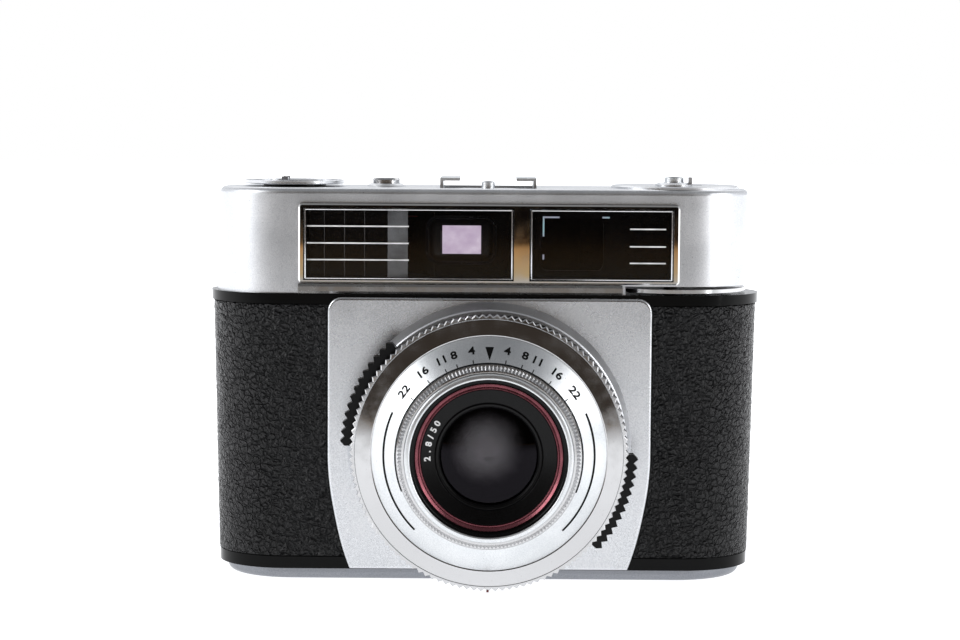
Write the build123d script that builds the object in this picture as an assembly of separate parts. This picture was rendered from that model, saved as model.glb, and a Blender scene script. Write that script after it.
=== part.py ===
"""Compact 35 mm film camera with a between-lens shutter and a front-cell focusing lens.

Frame: millimetres, +X to the right as the camera is seen from the front, front faces -Y, +Z up.
Origin: mouth of the tripod socket, on the base plane, below the lens axis, at the body's mid-depth.
"""
from build123d import *
import math
import os

os.makedirs("parts", exist_ok=True)

# ---------------------------------------------------------------- driving dimensions
BODY_WIDTH = 119.3        # body across its rounded ends, at the base plane
BODY_DEPTH = 32.0         # leather to leather, front to back
BODY_CENTRE_X = -1.2      # the lens axis is not quite in the middle of the body
BODY_FLARE = 0.0217       # each end leans out this much for each mm of height
LEATHER_T = 0.8
STRIP_TOP_Z = 5.0         # black strip under the leather
RIM_BOTTOM_Z = 61.1       # black rim above the leather
RIM_TOP_Z = 63.3
RIM_PROUD = 0.25
STRIP_INSET = 0.3
BASE_T = 2.4
BASE_INSET = 2.0
BASE_EDGE_R = 1.6
BASE_SCREW_R = 0.9        # hole for the screw's shank
BASE_SCREW_HEAD_R = 1.7
BASE_SCREW_HEAD_H = 1.0

COVER_HEIGHT = 23.0       # top cover, from the rim to the top plate
COVER_INSET = 0.2         # the cover stands this far inside the leather, front and back
COVER_CENTRE_X = -1.45
COVER_DRAFT = 1.6         # degrees
COVER_T = 1.0
COVER_EDGE_R = 1.3

LENS_Z = 30.85            # height of the lens axis
PLATE_WIDTH = 70.8
PLATE_PROUD = 2.5         # front plate in front of the leather
PLATE_TOP_Z = 62.6
PLATE_BOTTOM_Z = 2.9
PLATE_BOTTOM_HALF_W = 30.5
PLATE_CURVE_Z = 28.0      # below this the plate's sides curve in
PLATE_KNEE = (3.2, 13.8)  # point on the curve: beyond the foot, and its height
PLATE_CORNER_R = 3.0
PLATE_EDGE_R = 0.6
PLATE_T = 1.2

WIND_IN = 17.25           # wind shaft and take-up spool, inside the body's right end
WIND_SHAFT_R = 2.2
LEVER_T = 0.8
LEVER_TAB_REACH = 5.0
LEVER_TAB_HALF_W = 4.0
LEVER_TAB_ANGLE = 62.0    # degrees, from the right towards the back
LEVER_SLOT_Z = 65.2       # raised lower edge of the cover above the lever
LEVER_SLOT_IN = 11.6      # the slot starts this far left of the wind shaft
REWIND_IN = 16.95         # rewind shaft, inside the body's left end
REWIND_SHAFT_R = 2.0
REWIND_FORK_R = 3.2
REWIND_COLLAR_R = 7.0
REWIND_COLLAR_WALL = 0.6
REWIND_COLLAR_H = 4.3
REWIND_DISC_R = 11.1
REWIND_DISC_T = 0.9
CRANK_HINGE_AT = -2.0     # along the disc's diameter
CRANK_HANDLE_AT = 4.5
CRANK_HALF_W = 1.8
CRANK_HANDLE_R = 1.1
CRANK_PIN_R = 0.3
UNLOCK_X = -23.4
UNLOCK_R = 3.15
RELEASE_AT = (-0.8, -9.0)  # from the wind shaft
RELEASE_R = 2.15
RELEASE_ROD_R = 1.1
BRACKET_Z = 73.5          # guide of the release rod
COUNTER_PLATE_R = 14.3
COUNTER_PIN_R = 1.0
COUNTER_DIAL_R = 6.6
COUNTER_WINDOW = (3.0, 6.1)
COUNTER_WINDOW_HALF_W = 1.7

FILM_BEHIND = 5.0         # film plane to the back's leather
GATE_WIDTH = 36.0
GATE_HEIGHT = 24.0
RAIL_W = 1.2
CASSETTE_R = 13.0
TAKE_UP_R = 12.4
CHAMBER_BOTTOM_Z = 7.0
CHAMBER_TOP_Z = 56.0
GEAR_MODULE = 0.65
GEAR_T = 1.8
WIND_GEAR_TEETH = 36
SPROCKET_GEAR_TEETH = 14
SPROCKET_Y = 5.0
SPROCKET_R = 5.4
SPROCKET_HALF_L = 17.0
SPROCKET_ROW_Z = 14.2     # each row of teeth from the film's middle
SPROCKET_TEETH = 8
SPROCKET_BAY_R = 6.5
SPROCKET_AXLE_R = 1.5
SPOOL_R = 6.0
SPOOL_FLANGE = 2.0

DOOR_SPLIT_Y = 8.0        # the back door closes on this plane
DOOR_T = 1.2
HINGE_IN = 3.65           # hinge axis inside the body's right end
HINGE_BARREL_R = 1.5
HINGE_PIN_R = 0.6
CATCH_SLOT_IN = (-0.15, 3.25)   # from the body's left end
LATCH_IN = (10.45, 16.25)       # latch slot, from the body's left end
LATCH_SLOT_H = 13.0
LATCH_TRAVEL = 5.0
PLATEN_HALF_W = 24.0      # pressure plate
PLATEN_HALF_H = 16.5
PLATEN_T = 1.1
LEAF_T = 0.3
LEAF_W = 4.0
LEAF_Z = 8.0              # each leaf spring from the film's middle

COLLAR_R = 31.0
COLLAR_FRONT_R = 29.84
COLLAR_LENGTH = 7.5
CASE_R = 24.0
CASE_WALL = 3.0
CASE_BACK_T = 2.0
CASE_FRONT_T = 1.8
CASE_FLANGE_R = 27.0      # keeps the aperture ring off the collar
CASE_THROAT_R = 9.5
CASE_MOUTH_R = 10.5
GRIP_TIP_R = 31.9
GRIP_BASE_R = 29.0
GRIP_TOOTH = 0.95
GRIPS = ((-88, -42, 13), (91, 132, 12))   # start and stop clockwise from the top, and teeth
SPEED_RING_R = 29.65
SPEED_BAND_R = 28.1
SPEED_TEETH = 120
SPEED_TOOTH = 0.6
FACE_R = 25.0
FOCUS_R = 19.52
FRONT_CELL_R = 17.8
FRONT_CELL_WALL = 1.6
FILTER_THREAD_L = 2.0
FILTER_SHOULDER = 0.5     # step inwards behind the thread
RED_RING_WIDTH = 1.8
NAME_RING_R = 10.4
MIDDLE_LENS_R = 8.2
REAR_LENS_R = 8.6
APERTURE_R = 8.2
IRIS_BLADES = 5
IRIS_PIN_R = 0.35
IRIS_PIVOT_R = 11.1
IRIS_OPEN_R = 9.2
SHUTTER_BLADES = 3
BLADE_T = 0.15
BLADE_PITCH = 0.25        # one blade's layer to the next
BLADE_PIVOT_R = 15.0
BLADE_PIN_R = 0.5

BEZEL_LEFT_X = -41.9
BEZEL_RIGHT_X = 41.3
BEZEL_BOTTOM_Z = 65.6
BEZEL_TOP_Z = 83.0
BEZEL_PROUD = 1.3
BEZEL_CORNER_R = 0.8
BEZEL_DEPTH = 3.3
METER_WINDOW = (-40.4, 4.7)
FRAME_WINDOW = (9.0, 39.6)
WINDOW_BOTTOM_Z = 66.7
WINDOW_TOP_Z = 81.7
WINDOW_BEVEL = 0.45
GLASS_T = 1.0
FINDER_RECT = (-10.5, -2.05, 72.1, 78.3)
FINDER_WALL = 1.2
FINDER_SIDES = (-12.3, 4.5)
METER_SIDES = (-35.1, -13.5)
FRAME_SIDES = (5.7, 25.8)
CHAMBER_SILL_Z = 66.1
HOUSING_BEHIND = 5.8      # housing's back to the cover's back
METER_X = -26.0
METER_Y = 1.5
METER_R = 6.0
METER_TOP_Z = 79.0
METER_PIVOT_R = 0.6
MIRROR_WIDTH = 12.5
EYEPIECE_X = -4.0
EYEPIECE_Z = 75.2
EYEPIECE_R = 5.0
EYEPIECE_WALL = 0.8

SHOE_WIDTH = 21.3
SHOE_LENGTH = 18.0
SHOE_CENTRE_X = -0.55
SHOE_FRONT_Y = -8.0
SHOE_GAP = 12.5           # between the shoe's lips
SHOE_CHANNEL = 2.1        # height under the lips
SHOE_SHEET = 0.65
SHOE_FLOOR_Z = 85.75
SHOE_SCREWS = ((-5.0, -4.5), (3.9, -4.5), (-5.0, 6.5), (3.9, 6.5))
SHOE_SCREW_R = 0.7
SHOE_SCREW_HEAD_R = 1.2
SHOE_SCREW_HEAD_H = 0.35
SHOE_STOP_Y = -9.7
SHOE_STOP_R = 1.45
SHOE_STOP_SHANK_R = 0.8

TRIPOD_BORE_R = 2.55      # tap-drill radius of a 1/4-20 thread
TRIPOD_BORE_L = 6.0
TRIPOD_BUSH_R = 5.0
TRIPOD_BUSH_L = 7.2

RUN = 0.06                # radial clearance of a running fit
GAP = 0.15                # clearance between pieces that move past each other
SEAT = 0.05               # clearance of a piece that drops into a recess
FAR = 99.0                # well outside the camera, for cutters

# ---------------------------------------------------------------- worked out from them
LEFT_END_X = BODY_CENTRE_X - BODY_WIDTH / 2
RIGHT_END_X = BODY_CENTRE_X + BODY_WIDTH / 2
WIND_X = RIGHT_END_X - WIND_IN
REWIND_X = LEFT_END_X + REWIND_IN
RELEASE_X = WIND_X + RELEASE_AT[0]
RELEASE_Y = RELEASE_AT[1]
LEVER_R = BODY_DEPTH / 2
LEVER_SLOT_X = WIND_X - LEVER_SLOT_IN
CATCH_SLOT_X = (LEFT_END_X + CATCH_SLOT_IN[0], LEFT_END_X + CATCH_SLOT_IN[1])
LATCH_X = (LEFT_END_X + LATCH_IN[0], LEFT_END_X + LATCH_IN[1])
BASE_SCREWS = ((LEFT_END_X + 10.85, 0.0), (-20.0, -8.0), (20.0, -8.0), (RIGHT_END_X - 10.45, 0.0))
COVER_WIDTH = BODY_WIDTH
COVER_DEPTH = BODY_DEPTH - 2 * COVER_INSET
FRONT_Y = -BODY_DEPTH / 2
FILM_PLANE_Y = BODY_DEPTH / 2 - FILM_BEHIND
CASTING_FRONT_Y = FRONT_Y + LEATHER_T
PLATE_Y = FRONT_Y - PLATE_PROUD
COVER_TOP_Z = RIM_TOP_Z + COVER_HEIGHT
COVER_FRONT_Y = -COVER_DEPTH / 2
BEZEL_Y = COVER_FRONT_Y - BEZEL_PROUD
HOUSING_FRONT_Y = BEZEL_Y + BEZEL_DEPTH
HOUSING_BACK_Y = COVER_DEPTH / 2 - HOUSING_BEHIND
HOUSING_TOP_Z = SHOE_FLOOR_Z - SHOE_SHEET
WING_FRONT_Y = HOUSING_FRONT_Y + FINDER_WALL
CHAMBER_HEAD_Z = HOUSING_TOP_Z - FINDER_WALL
DOOR_BOTTOM_Z = STRIP_TOP_Z + GAP
DOOR_TOP_Z = RIM_BOTTOM_Z - GAP
DECK_Z = CHAMBER_TOP_Z + 2.8
GEAR_Z = DECK_Z + 0.3
LEVER_Z = RIM_TOP_Z + 0.4
CRANK_HINGE_Z = COVER_TOP_Z + 1.55
GEAR_DISTANCE = GEAR_MODULE * (WIND_GEAR_TEETH + SPROCKET_GEAR_TEETH) / 2
SPROCKET_X = WIND_X - math.sqrt(GEAR_DISTANCE ** 2 - SPROCKET_Y ** 2)
HINGE_X = RIGHT_END_X - HINGE_IN
COLLAR_Y = PLATE_Y - COLLAR_LENGTH
GRIP_BACK_Y = COLLAR_Y - 2.6
GRIP_FRONT_Y = GRIP_BACK_Y - 4.4
SPEED_BACK_Y = GRIP_FRONT_Y - GAP
FACE_BACK_Y = SPEED_BACK_Y - 2.2
FACE_RIM_Y = FACE_BACK_Y - 0.95
FACE_FRONT_Y = FACE_RIM_Y - 5.5
FOCUS_BACK_Y = FACE_FRONT_Y + 4.2
FOCUS_FRONT_Y = FACE_FRONT_Y - 1.5
FILTER_FRONT_Y = FOCUS_FRONT_Y - 1.5
CELL_BACK_Y = FACE_FRONT_Y + 3.7
FILTER_THREAD_R = FRONT_CELL_R - FRONT_CELL_WALL
RED_RING_R = FILTER_THREAD_R - RED_RING_WIDTH
SHOULDER_R = FILTER_THREAD_R - FILTER_SHOULDER
IRIS_Y = CASTING_FRONT_Y - 9.6
SHUTTER_Y = IRIS_Y - 2.45


# ---------------------------------------------------------------- small helpers
def block(x0, x1, y0, y1, z0, z1):
    """A box between two corners."""
    size = (x1 - x0, y1 - y0, z1 - z0)
    return Pos((x0 + x1) / 2, (y0 + y1) / 2, (z0 + z1) / 2) * Box(*size)


def post(x, y, radius, z0, z1):
    """An upright round post."""
    return Pos(x, y, (z0 + z1) / 2) * Cylinder(radius, z1 - z0)


def turned(x, y, profile):
    """A piece turned about an upright axis, from (radius, z) points."""
    points = [(radius, 0, z) for radius, z in profile]
    return Pos(x, y, 0) * revolve(make_face(Polyline(*points, close=True)), Axis.Z)


def lens_turned(profile):
    """A piece turned about the lens axis, from (radius, y) points."""
    points = [(radius, y, 0) for radius, y in profile]
    return Pos(0, 0, LENS_Z) * revolve(make_face(Polyline(*points, close=True)), Axis.Y)


def lens_ring(outer, inner, y_back, y_front):
    """A plain ring about the lens axis."""
    return lens_turned([(inner, y_back), (outer, y_back), (outer, y_front), (inner, y_front)])


def lens_disc(radius, y_back, y_front):
    """A plain disc about the lens axis."""
    return lens_turned([(0, y_back), (radius, y_back), (radius, y_front), (0, y_front)])


def lens_plate(outline, y_back, y_front):
    """A flat plate square to the lens axis, from (x, z) points about that axis."""
    points = [(x, y_front, z + LENS_Z) for x, z in outline]
    return extrude(make_face(Polyline(*points, close=True)), y_back - y_front, dir=(0, 1, 0))


def clockwise(radius, degrees):
    """The (x, z) point at an angle turned clockwise from the top, as seen from the front."""
    angle = math.radians(degrees)
    return radius * math.sin(angle), radius * math.cos(angle)


def body_width(z, inset):
    """Width of the body's outline at a height, an inset inside the leather's face."""
    return BODY_WIDTH + 2 * BODY_FLARE * z - 2 * inset


def body_block(z0, z1, inset):
    """The body's round-ended, slightly flared outline as a solid between two heights."""
    sections = []
    for z in (z0, z1):
        oval = SlotOverall(body_width(z, inset), BODY_DEPTH - 2 * inset)
        sections.append(Pos(BODY_CENTRE_X, 0, z) * oval)
    return loft(sections, ruled=True)


def cover_block(inset, z0, z1):
    """The top cover's drafted outline, an inset inside its face, between two heights."""
    lean = math.tan(math.radians(COVER_DRAFT))
    grow = 2 * lean * (z0 - RIM_TOP_Z) + 2 * inset
    oval = SlotOverall(COVER_WIDTH - grow, COVER_DEPTH - grow)
    return Pos(COVER_CENTRE_X, 0, z0) * extrude(oval, z1 - z0, taper=COVER_DRAFT)


def plate_outline(margin, y):
    """The front plate's outline, grown by a margin, as a face that looks forward."""
    half = PLATE_WIDTH / 2 + margin
    low = PLATE_BOTTOM_HALF_W + margin
    top = PLATE_TOP_Z + margin
    bottom = PLATE_BOTTOM_Z - margin
    knee = low + PLATE_KNEE[0]
    right = Spline((half, y, PLATE_CURVE_Z), (knee, y, PLATE_KNEE[1]), (low, y, bottom),
                   tangents=((0, 0, -1), (-0.45, 0, -1)))
    left = Spline((-low, y, bottom), (-knee, y, PLATE_KNEE[1]), (-half, y, PLATE_CURVE_Z),
                  tangents=((-0.45, 0, 1), (0, 0, 1)))
    base = Line((low, y, bottom), (-low, y, bottom))
    upper = Polyline((-half, y, PLATE_CURVE_Z), (-half, y, top), (half, y, top),
                     (half, y, PLATE_CURVE_Z))
    return make_face([right, base, left, upper])


def plate_block(margin, y_back, y_front):
    """The front plate's outline as a solid."""
    solid = extrude(plate_outline(margin, y_front), y_back - y_front, dir=(0, 1, 0))
    corners = [edge for edge in solid.edges().filter_by(Axis.Y)
               if edge.center().Z > PLATE_CURVE_Z + 5]
    return fillet(corners, PLATE_CORNER_R + margin)


def gear(teeth, x, y, phase):
    """A spur gear of the wind train, with involute flanks, a little backlash and short teeth."""
    pitch_r = GEAR_MODULE * teeth / 2
    base_r = pitch_r * math.cos(math.radians(20))
    tip_r = pitch_r + 0.8 * GEAR_MODULE
    root_r = pitch_r - 1.1 * GEAR_MODULE
    involute_at_pitch = math.tan(math.radians(20)) - math.radians(20)
    half_tooth = math.pi / 2 / teeth - 0.06 / pitch_r + involute_at_pitch
    points = []
    for tooth in range(teeth):
        centre = 2 * math.pi * tooth / teeth + phase
        flank = []
        for step in range(5):
            radius = max(root_r, base_r) + (tip_r - max(root_r, base_r)) * step / 4
            roll = math.sqrt(max((radius / base_r) ** 2 - 1, 0))
            flank.append((radius, half_tooth - (roll - math.atan(roll))))
        if root_r < base_r:
            flank.insert(0, (root_r, flank[0][1]))
        for radius, angle in flank:
            points.append((radius * math.cos(centre - angle), radius * math.sin(centre - angle)))
        for radius, angle in reversed(flank):
            points.append((radius * math.cos(centre + angle), radius * math.sin(centre + angle)))
    return Pos(x, y, GEAR_Z) * extrude(make_face(Polyline(*points, close=True)), GEAR_T)


def serrated(count, tip_r, depth, start, stop):
    """Points of a row of V teeth on a round edge, between two clockwise angles."""
    points = []
    for index in range(2 * count):
        radius = tip_r if index % 2 else tip_r - depth
        points.append(clockwise(radius, start + (stop - start) * index / (2 * count)))
    return points


# ---------------------------------------------------------------- body
def body_casting():
    """Die-cast body: chambers, film gate, light path, and the black rim and strip."""
    before_door = block(-FAR, FAR, -FAR, DOOR_SPLIT_Y - GAP, 0, FAR)
    solid = body_block(STRIP_TOP_Z, RIM_BOTTOM_Z, LEATHER_T) & before_door
    solid += body_block(BASE_T, STRIP_TOP_Z, STRIP_INSET)
    solid += body_block(RIM_BOTTOM_Z, RIM_TOP_Z, -RIM_PROUD)
    rail = GATE_WIDTH / 2 + RAIL_W
    solid += block(-rail, rail, 0, FILM_PLANE_Y, STRIP_TOP_Z, RIM_BOTTOM_Z)
    solid -= plate_block(SEAT, CASTING_FRONT_Y, PLATE_Y - 1)
    behind = FILM_PLANE_Y + 1
    for x, y, radius in ((REWIND_X, 0, CASSETTE_R), (WIND_X, 0, TAKE_UP_R),
                         (SPROCKET_X, SPROCKET_Y, SPROCKET_BAY_R)):
        solid -= post(x, y, radius, CHAMBER_BOTTOM_Z, CHAMBER_TOP_Z)
        solid -= block(x - radius, x + radius, y, behind, CHAMBER_BOTTOM_Z, CHAMBER_TOP_Z)
    solid -= block(-GATE_WIDTH / 2, GATE_WIDTH / 2, FRONT_Y + 7, behind,
                   LENS_Z - GATE_HEIGHT / 2, LENS_Z + GATE_HEIGHT / 2)
    solid -= lens_disc(12.5, FRONT_Y + 8, FRONT_Y - 1)
    for side in (-1, 1):
        solid -= Pos(side * 24.5, 0, 0) * block(-3, 3, FRONT_Y - 1, -4, 12, 52)
    solid -= post(REWIND_X, 0, REWIND_FORK_R + RUN, CHAMBER_TOP_Z - 1, RIM_TOP_Z + 1)
    solid -= post(WIND_X, 0, WIND_SHAFT_R + RUN, CHAMBER_TOP_Z - 1, DECK_Z + 1)
    solid -= post(WIND_X, 0, WIND_SHAFT_R + RUN, CHAMBER_BOTTOM_Z - 1.6, CHAMBER_BOTTOM_Z + 1)
    solid -= post(SPROCKET_X, SPROCKET_Y, SPROCKET_AXLE_R + RUN, CHAMBER_BOTTOM_Z - 1.6, DECK_Z + 1)
    for x, y, teeth in ((WIND_X, 0, WIND_GEAR_TEETH), (SPROCKET_X, SPROCKET_Y, SPROCKET_GEAR_TEETH)):
        solid -= post(x, y, GEAR_MODULE * (teeth / 2 + 1.4), DECK_Z, RIM_TOP_Z + 1)
    solid -= post(0, 0, TRIPOD_BUSH_R + SEAT, 0, TRIPOD_BUSH_L)
    for x, y in BASE_SCREWS:
        solid -= post(x, y, BASE_SCREW_R, 0, STRIP_TOP_Z + 0.5)
    swing = post(HINGE_X, DOOR_SPLIT_Y, HINGE_BARREL_R + 2 * GAP, STRIP_TOP_Z, RIM_BOTTOM_Z)
    solid -= swing
    solid -= post(HINGE_X, DOOR_SPLIT_Y, HINGE_PIN_R, STRIP_TOP_Z - 2, RIM_BOTTOM_Z + 1.5)
    solid -= block(*CATCH_SLOT_X, DOOR_SPLIT_Y - 3, DOOR_SPLIT_Y, LENS_Z - 4, LENS_Z + 4)
    return solid


def skin():
    """The leather's full wrap, before it is cut into its pieces."""
    outer = body_block(STRIP_TOP_Z, RIM_BOTTOM_Z, 0)
    return outer - body_block(STRIP_TOP_Z - 1, RIM_BOTTOM_Z + 1, LEATHER_T)


def front_leather(x0, x1):
    """One end's leather, from the front plate round to the back door."""
    piece = skin() & block(x0, x1, -FAR, DOOR_SPLIT_Y - GAP, 0, FAR)
    piece -= plate_block(SEAT, 0, PLATE_Y - 1)
    return piece - post(HINGE_X, DOOR_SPLIT_Y, HINGE_BARREL_R + 2 * GAP, 0, FAR)


def door_side():
    """The space behind the door's parting plane, short of the hinge."""
    return block(-FAR, HINGE_X - 2 * GAP, DOOR_SPLIT_Y + GAP, FAR, DOOR_BOTTOM_Z, DOOR_TOP_Z)


def back_door():
    """Sheet-metal back with its hinge barrel and catch tongue."""
    shell = body_block(STRIP_TOP_Z, RIM_BOTTOM_Z, LEATHER_T)
    shell -= body_block(STRIP_TOP_Z - 1, RIM_BOTTOM_Z + 1, LEATHER_T + DOOR_T)
    shell = shell & door_side()
    barrel_bottom = DOOR_BOTTOM_Z + 1
    barrel_top = DOOR_TOP_Z - 1
    shell += block(HINGE_X - 3, HINGE_X, DOOR_SPLIT_Y + GAP, DOOR_SPLIT_Y + HINGE_BARREL_R,
                   barrel_bottom, barrel_top)
    shell += post(HINGE_X, DOOR_SPLIT_Y, HINGE_BARREL_R, barrel_bottom, barrel_top)
    shell -= post(HINGE_X, DOOR_SPLIT_Y, HINGE_PIN_R + RUN, 0, FAR)
    tongue = block(CATCH_SLOT_X[0] + 1.2, CATCH_SLOT_X[1] - 0.6, DOOR_SPLIT_Y - 2,
                   DOOR_SPLIT_Y + 3, LENS_Z - 3, LENS_Z + 3)
    keep = body_block(STRIP_TOP_Z, RIM_BOTTOM_Z, LEATHER_T + GAP)
    shell += tongue & keep
    return shell - latch_slot()


def latch_slot():
    """The latch slide's slot through the back door and its leather, as a cutter."""
    half = LATCH_SLOT_H / 2
    return block(*LATCH_X, DOOR_SPLIT_Y + 2, FAR, LENS_Z - half, LENS_Z + half)


def back_leather():
    """Leather on the back door, with an opening for the latch slide."""
    return (skin() & door_side()) - latch_slot()


def back_latch():
    """Ribbed slide that frees the back door."""
    inner = BODY_DEPTH / 2 - LEATHER_T - DOOR_T + 0.1
    low = LENS_Z - LATCH_SLOT_H / 2 + GAP
    high = low + LATCH_SLOT_H - LATCH_TRAVEL - 2 * GAP
    slide = block(LATCH_X[0] + GAP, LATCH_X[1] - GAP, inner, BODY_DEPTH / 2 + 0.2, low, high)
    for index in range(4):
        z = low + 1.2 + index * (high - low - 2.4) / 3
        slide -= block(LATCH_X[0], LATCH_X[1], BODY_DEPTH / 2 - 0.1, BODY_DEPTH / 2 + 1,
                       z - 0.3, z + 0.3)
    return slide


def hinge_pin():
    """Steel pin through the back door's barrel, held in the rim and the strip."""
    return post(HINGE_X, DOOR_SPLIT_Y, HINGE_PIN_R, STRIP_TOP_Z - 2, RIM_BOTTOM_Z + 1.5)


def pressure_plate():
    """Flat plate that holds the film in the gate."""
    y = FILM_PLANE_Y + 0.2
    return block(-PLATEN_HALF_W, PLATEN_HALF_W, y, y + PLATEN_T,
                 LENS_Z - PLATEN_HALF_H, LENS_Z + PLATEN_HALF_H)


def plate_springs():
    """Leaf springs between the back door and the pressure plate."""
    plate_back = FILM_PLANE_Y + 0.2 + PLATEN_T
    door_inside = BODY_DEPTH / 2 - LEATHER_T - DOOR_T
    return [leaf_spring(plate_back, door_inside, LENS_Z + z) for z in (-LEAF_Z, LEAF_Z)]


def leaf_spring(plate_back, door_inside, z):
    """One bowed leaf, feet on the plate and crown on the door."""
    crown = door_inside - LEAF_T
    under = plate_back + LEAF_T
    points = [(-14, plate_back), (-6, plate_back), (-3, crown), (3, crown), (6, plate_back),
              (14, plate_back), (14, under), (6.3, under), (3.3, door_inside),
              (-3.3, door_inside), (-6.3, under), (-14, under)]
    face = make_face(Polyline(*[(x, y, z - LEAF_W / 2) for x, y in points], close=True))
    return extrude(face, LEAF_W, dir=(0, 0, 1))


def base_plate():
    """Chromed base plate with rounded lower edges."""
    oval = SlotOverall(body_width(0, BASE_INSET), BODY_DEPTH - 1.2)
    plate = Pos(BODY_CENTRE_X, 0, 0) * extrude(oval, BASE_T)
    plate = fillet(plate.faces().sort_by(Axis.Z)[0].edges(), BASE_EDGE_R)
    plate -= post(0, 0, TRIPOD_BUSH_R + SEAT, -1, BASE_T + 1)
    for x, y in BASE_SCREWS:
        plate -= post(x, y, BASE_SCREW_R, -1, BASE_T + 1)
        plate -= post(x, y, BASE_SCREW_HEAD_R, -1, BASE_SCREW_HEAD_H)
    return plate


def tripod_bush():
    """Steel bush with the tripod thread, drawn at its tap-drill size."""
    bush = post(0, 0, TRIPOD_BUSH_R, 0, TRIPOD_BUSH_L)
    return bush - post(0, 0, TRIPOD_BORE_R, -1, TRIPOD_BORE_L)


def base_screws():
    """Slotted screws that hold the base plate."""
    screws = []
    for x, y in BASE_SCREWS:
        screw = post(x, y, BASE_SCREW_HEAD_R - SEAT, 0.1, BASE_SCREW_HEAD_H)
        screw += post(x, y, BASE_SCREW_R - SEAT, 0.5, STRIP_TOP_Z + 0.4)
        screws.append(screw - block(x - 2, x + 2, y - 0.2, y + 0.2, 0, 0.5))
    return screws


# ---------------------------------------------------------------- front plate and covers
def front_plate():
    """Raised front plate: a shallow pan with a hole for the shutter."""
    plate = plate_block(0, CASTING_FRONT_Y, PLATE_Y)
    plate = fillet(plate.faces().sort_by(Axis.Y)[0].edges(), PLATE_EDGE_R)
    plate -= plate_block(-PLATE_T, CASTING_FRONT_Y + 1, PLATE_Y + PLATE_T)
    return plate - lens_disc(CASE_R + SEAT, 0, PLATE_Y - 1)


def front_trim():
    """Polished step between the front plate and the window bezel."""
    y_back = COVER_FRONT_Y - SEAT
    strip = block(BEZEL_LEFT_X, LEVER_SLOT_X - 0.7, PLATE_Y + 0.5, y_back,
                  RIM_TOP_Z + 0.1, BEZEL_BOTTOM_Z - 0.2)
    edges = strip.edges().filter_by(Axis.X).sort_by(Axis.Y)[:2]
    return chamfer(edges, 0.5)


def top_cover():
    """Satin chromed top cover, open below, raised at the right for the wind lever."""
    outer = cover_block(0, RIM_TOP_Z, COVER_TOP_Z)
    outer = fillet(outer.faces().sort_by(Axis.Z)[-1].edges(), COVER_EDGE_R)
    cover = outer - cover_block(COVER_T, RIM_TOP_Z - 1, COVER_TOP_Z - COVER_T)
    cover -= block(LEVER_SLOT_X, FAR, -FAR, FAR, RIM_TOP_Z - 1, LEVER_SLOT_Z)
    cover -= bezel_block(SEAT)
    cover -= post(REWIND_X, 0, REWIND_COLLAR_R + RUN, COVER_TOP_Z - 3, COVER_TOP_Z + 3)
    cover -= post(UNLOCK_X, 0, UNLOCK_R + RUN, COVER_TOP_Z - 3, COVER_TOP_Z + 3)
    cover -= post(RELEASE_X, RELEASE_Y, RELEASE_R + RUN, COVER_TOP_Z - 3, COVER_TOP_Z + 3)
    cover -= post(WIND_X, 0, COUNTER_PIN_R + SEAT, COVER_TOP_Z - 3, COVER_TOP_Z + 3)
    cover -= counter_window()
    cover -= block(SHOE_CENTRE_X - SHOE_WIDTH / 2 - SEAT, SHOE_CENTRE_X + SHOE_WIDTH / 2 + SEAT,
                   SHOE_FRONT_Y - SEAT, SHOE_FRONT_Y + SHOE_LENGTH + SEAT,
                   COVER_TOP_Z - 3, COVER_TOP_Z + 3)
    cover -= post(SHOE_CENTRE_X, SHOE_STOP_Y, SHOE_STOP_SHANK_R, COVER_TOP_Z - 3, COVER_TOP_Z + 3)
    wall_y = COVER_DEPTH / 2
    eye = Pos(EYEPIECE_X, wall_y, EYEPIECE_Z) * Rot(90, 0, 0) * Cylinder(EYEPIECE_R + SEAT, 10)
    return cover - eye + unlock_bezel()


def bezel_block(margin):
    """The window bezel's outer shape, grown by a margin."""
    frame = block(BEZEL_LEFT_X - margin, BEZEL_RIGHT_X + margin, BEZEL_Y, HOUSING_FRONT_Y,
                  BEZEL_BOTTOM_Z - margin, BEZEL_TOP_Z + margin)
    return fillet(frame.edges().filter_by(Axis.Y), BEZEL_CORNER_R + margin)


def window_bezel():
    """Polished bezel round the two windows, with bevelled openings."""
    bezel = bezel_block(0)
    front = bezel.faces().sort_by(Axis.Y)[0]
    bezel = chamfer(front.edges(), 0.35)
    for x0, x1 in (METER_WINDOW, FRAME_WINDOW):
        bezel -= block(x0, x1, BEZEL_Y - 1, HOUSING_FRONT_Y + 1, WINDOW_BOTTOM_Z, WINDOW_TOP_Z)
        bevel = Pos((x0 + x1) / 2, BEZEL_Y, (WINDOW_BOTTOM_Z + WINDOW_TOP_Z) / 2)
        high = WINDOW_TOP_Z - WINDOW_BOTTOM_Z
        mouth = Rectangle(x1 - x0 + 2 * WINDOW_BEVEL, high + 2 * WINDOW_BEVEL)
        bezel -= bevel * extrude(Rot(90, 0, 0) * mouth, 1.2, dir=(0, 1, 0), taper=20.5)
    return bezel


def window_glass(x0, x1):
    """A pane behind one opening of the bezel."""
    return block(x0 + SEAT, x1 - SEAT, BEZEL_Y + 0.7, BEZEL_Y + 0.7 + GLASS_T,
                 WINDOW_BOTTOM_Z + SEAT, WINDOW_TOP_Z - SEAT)


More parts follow.
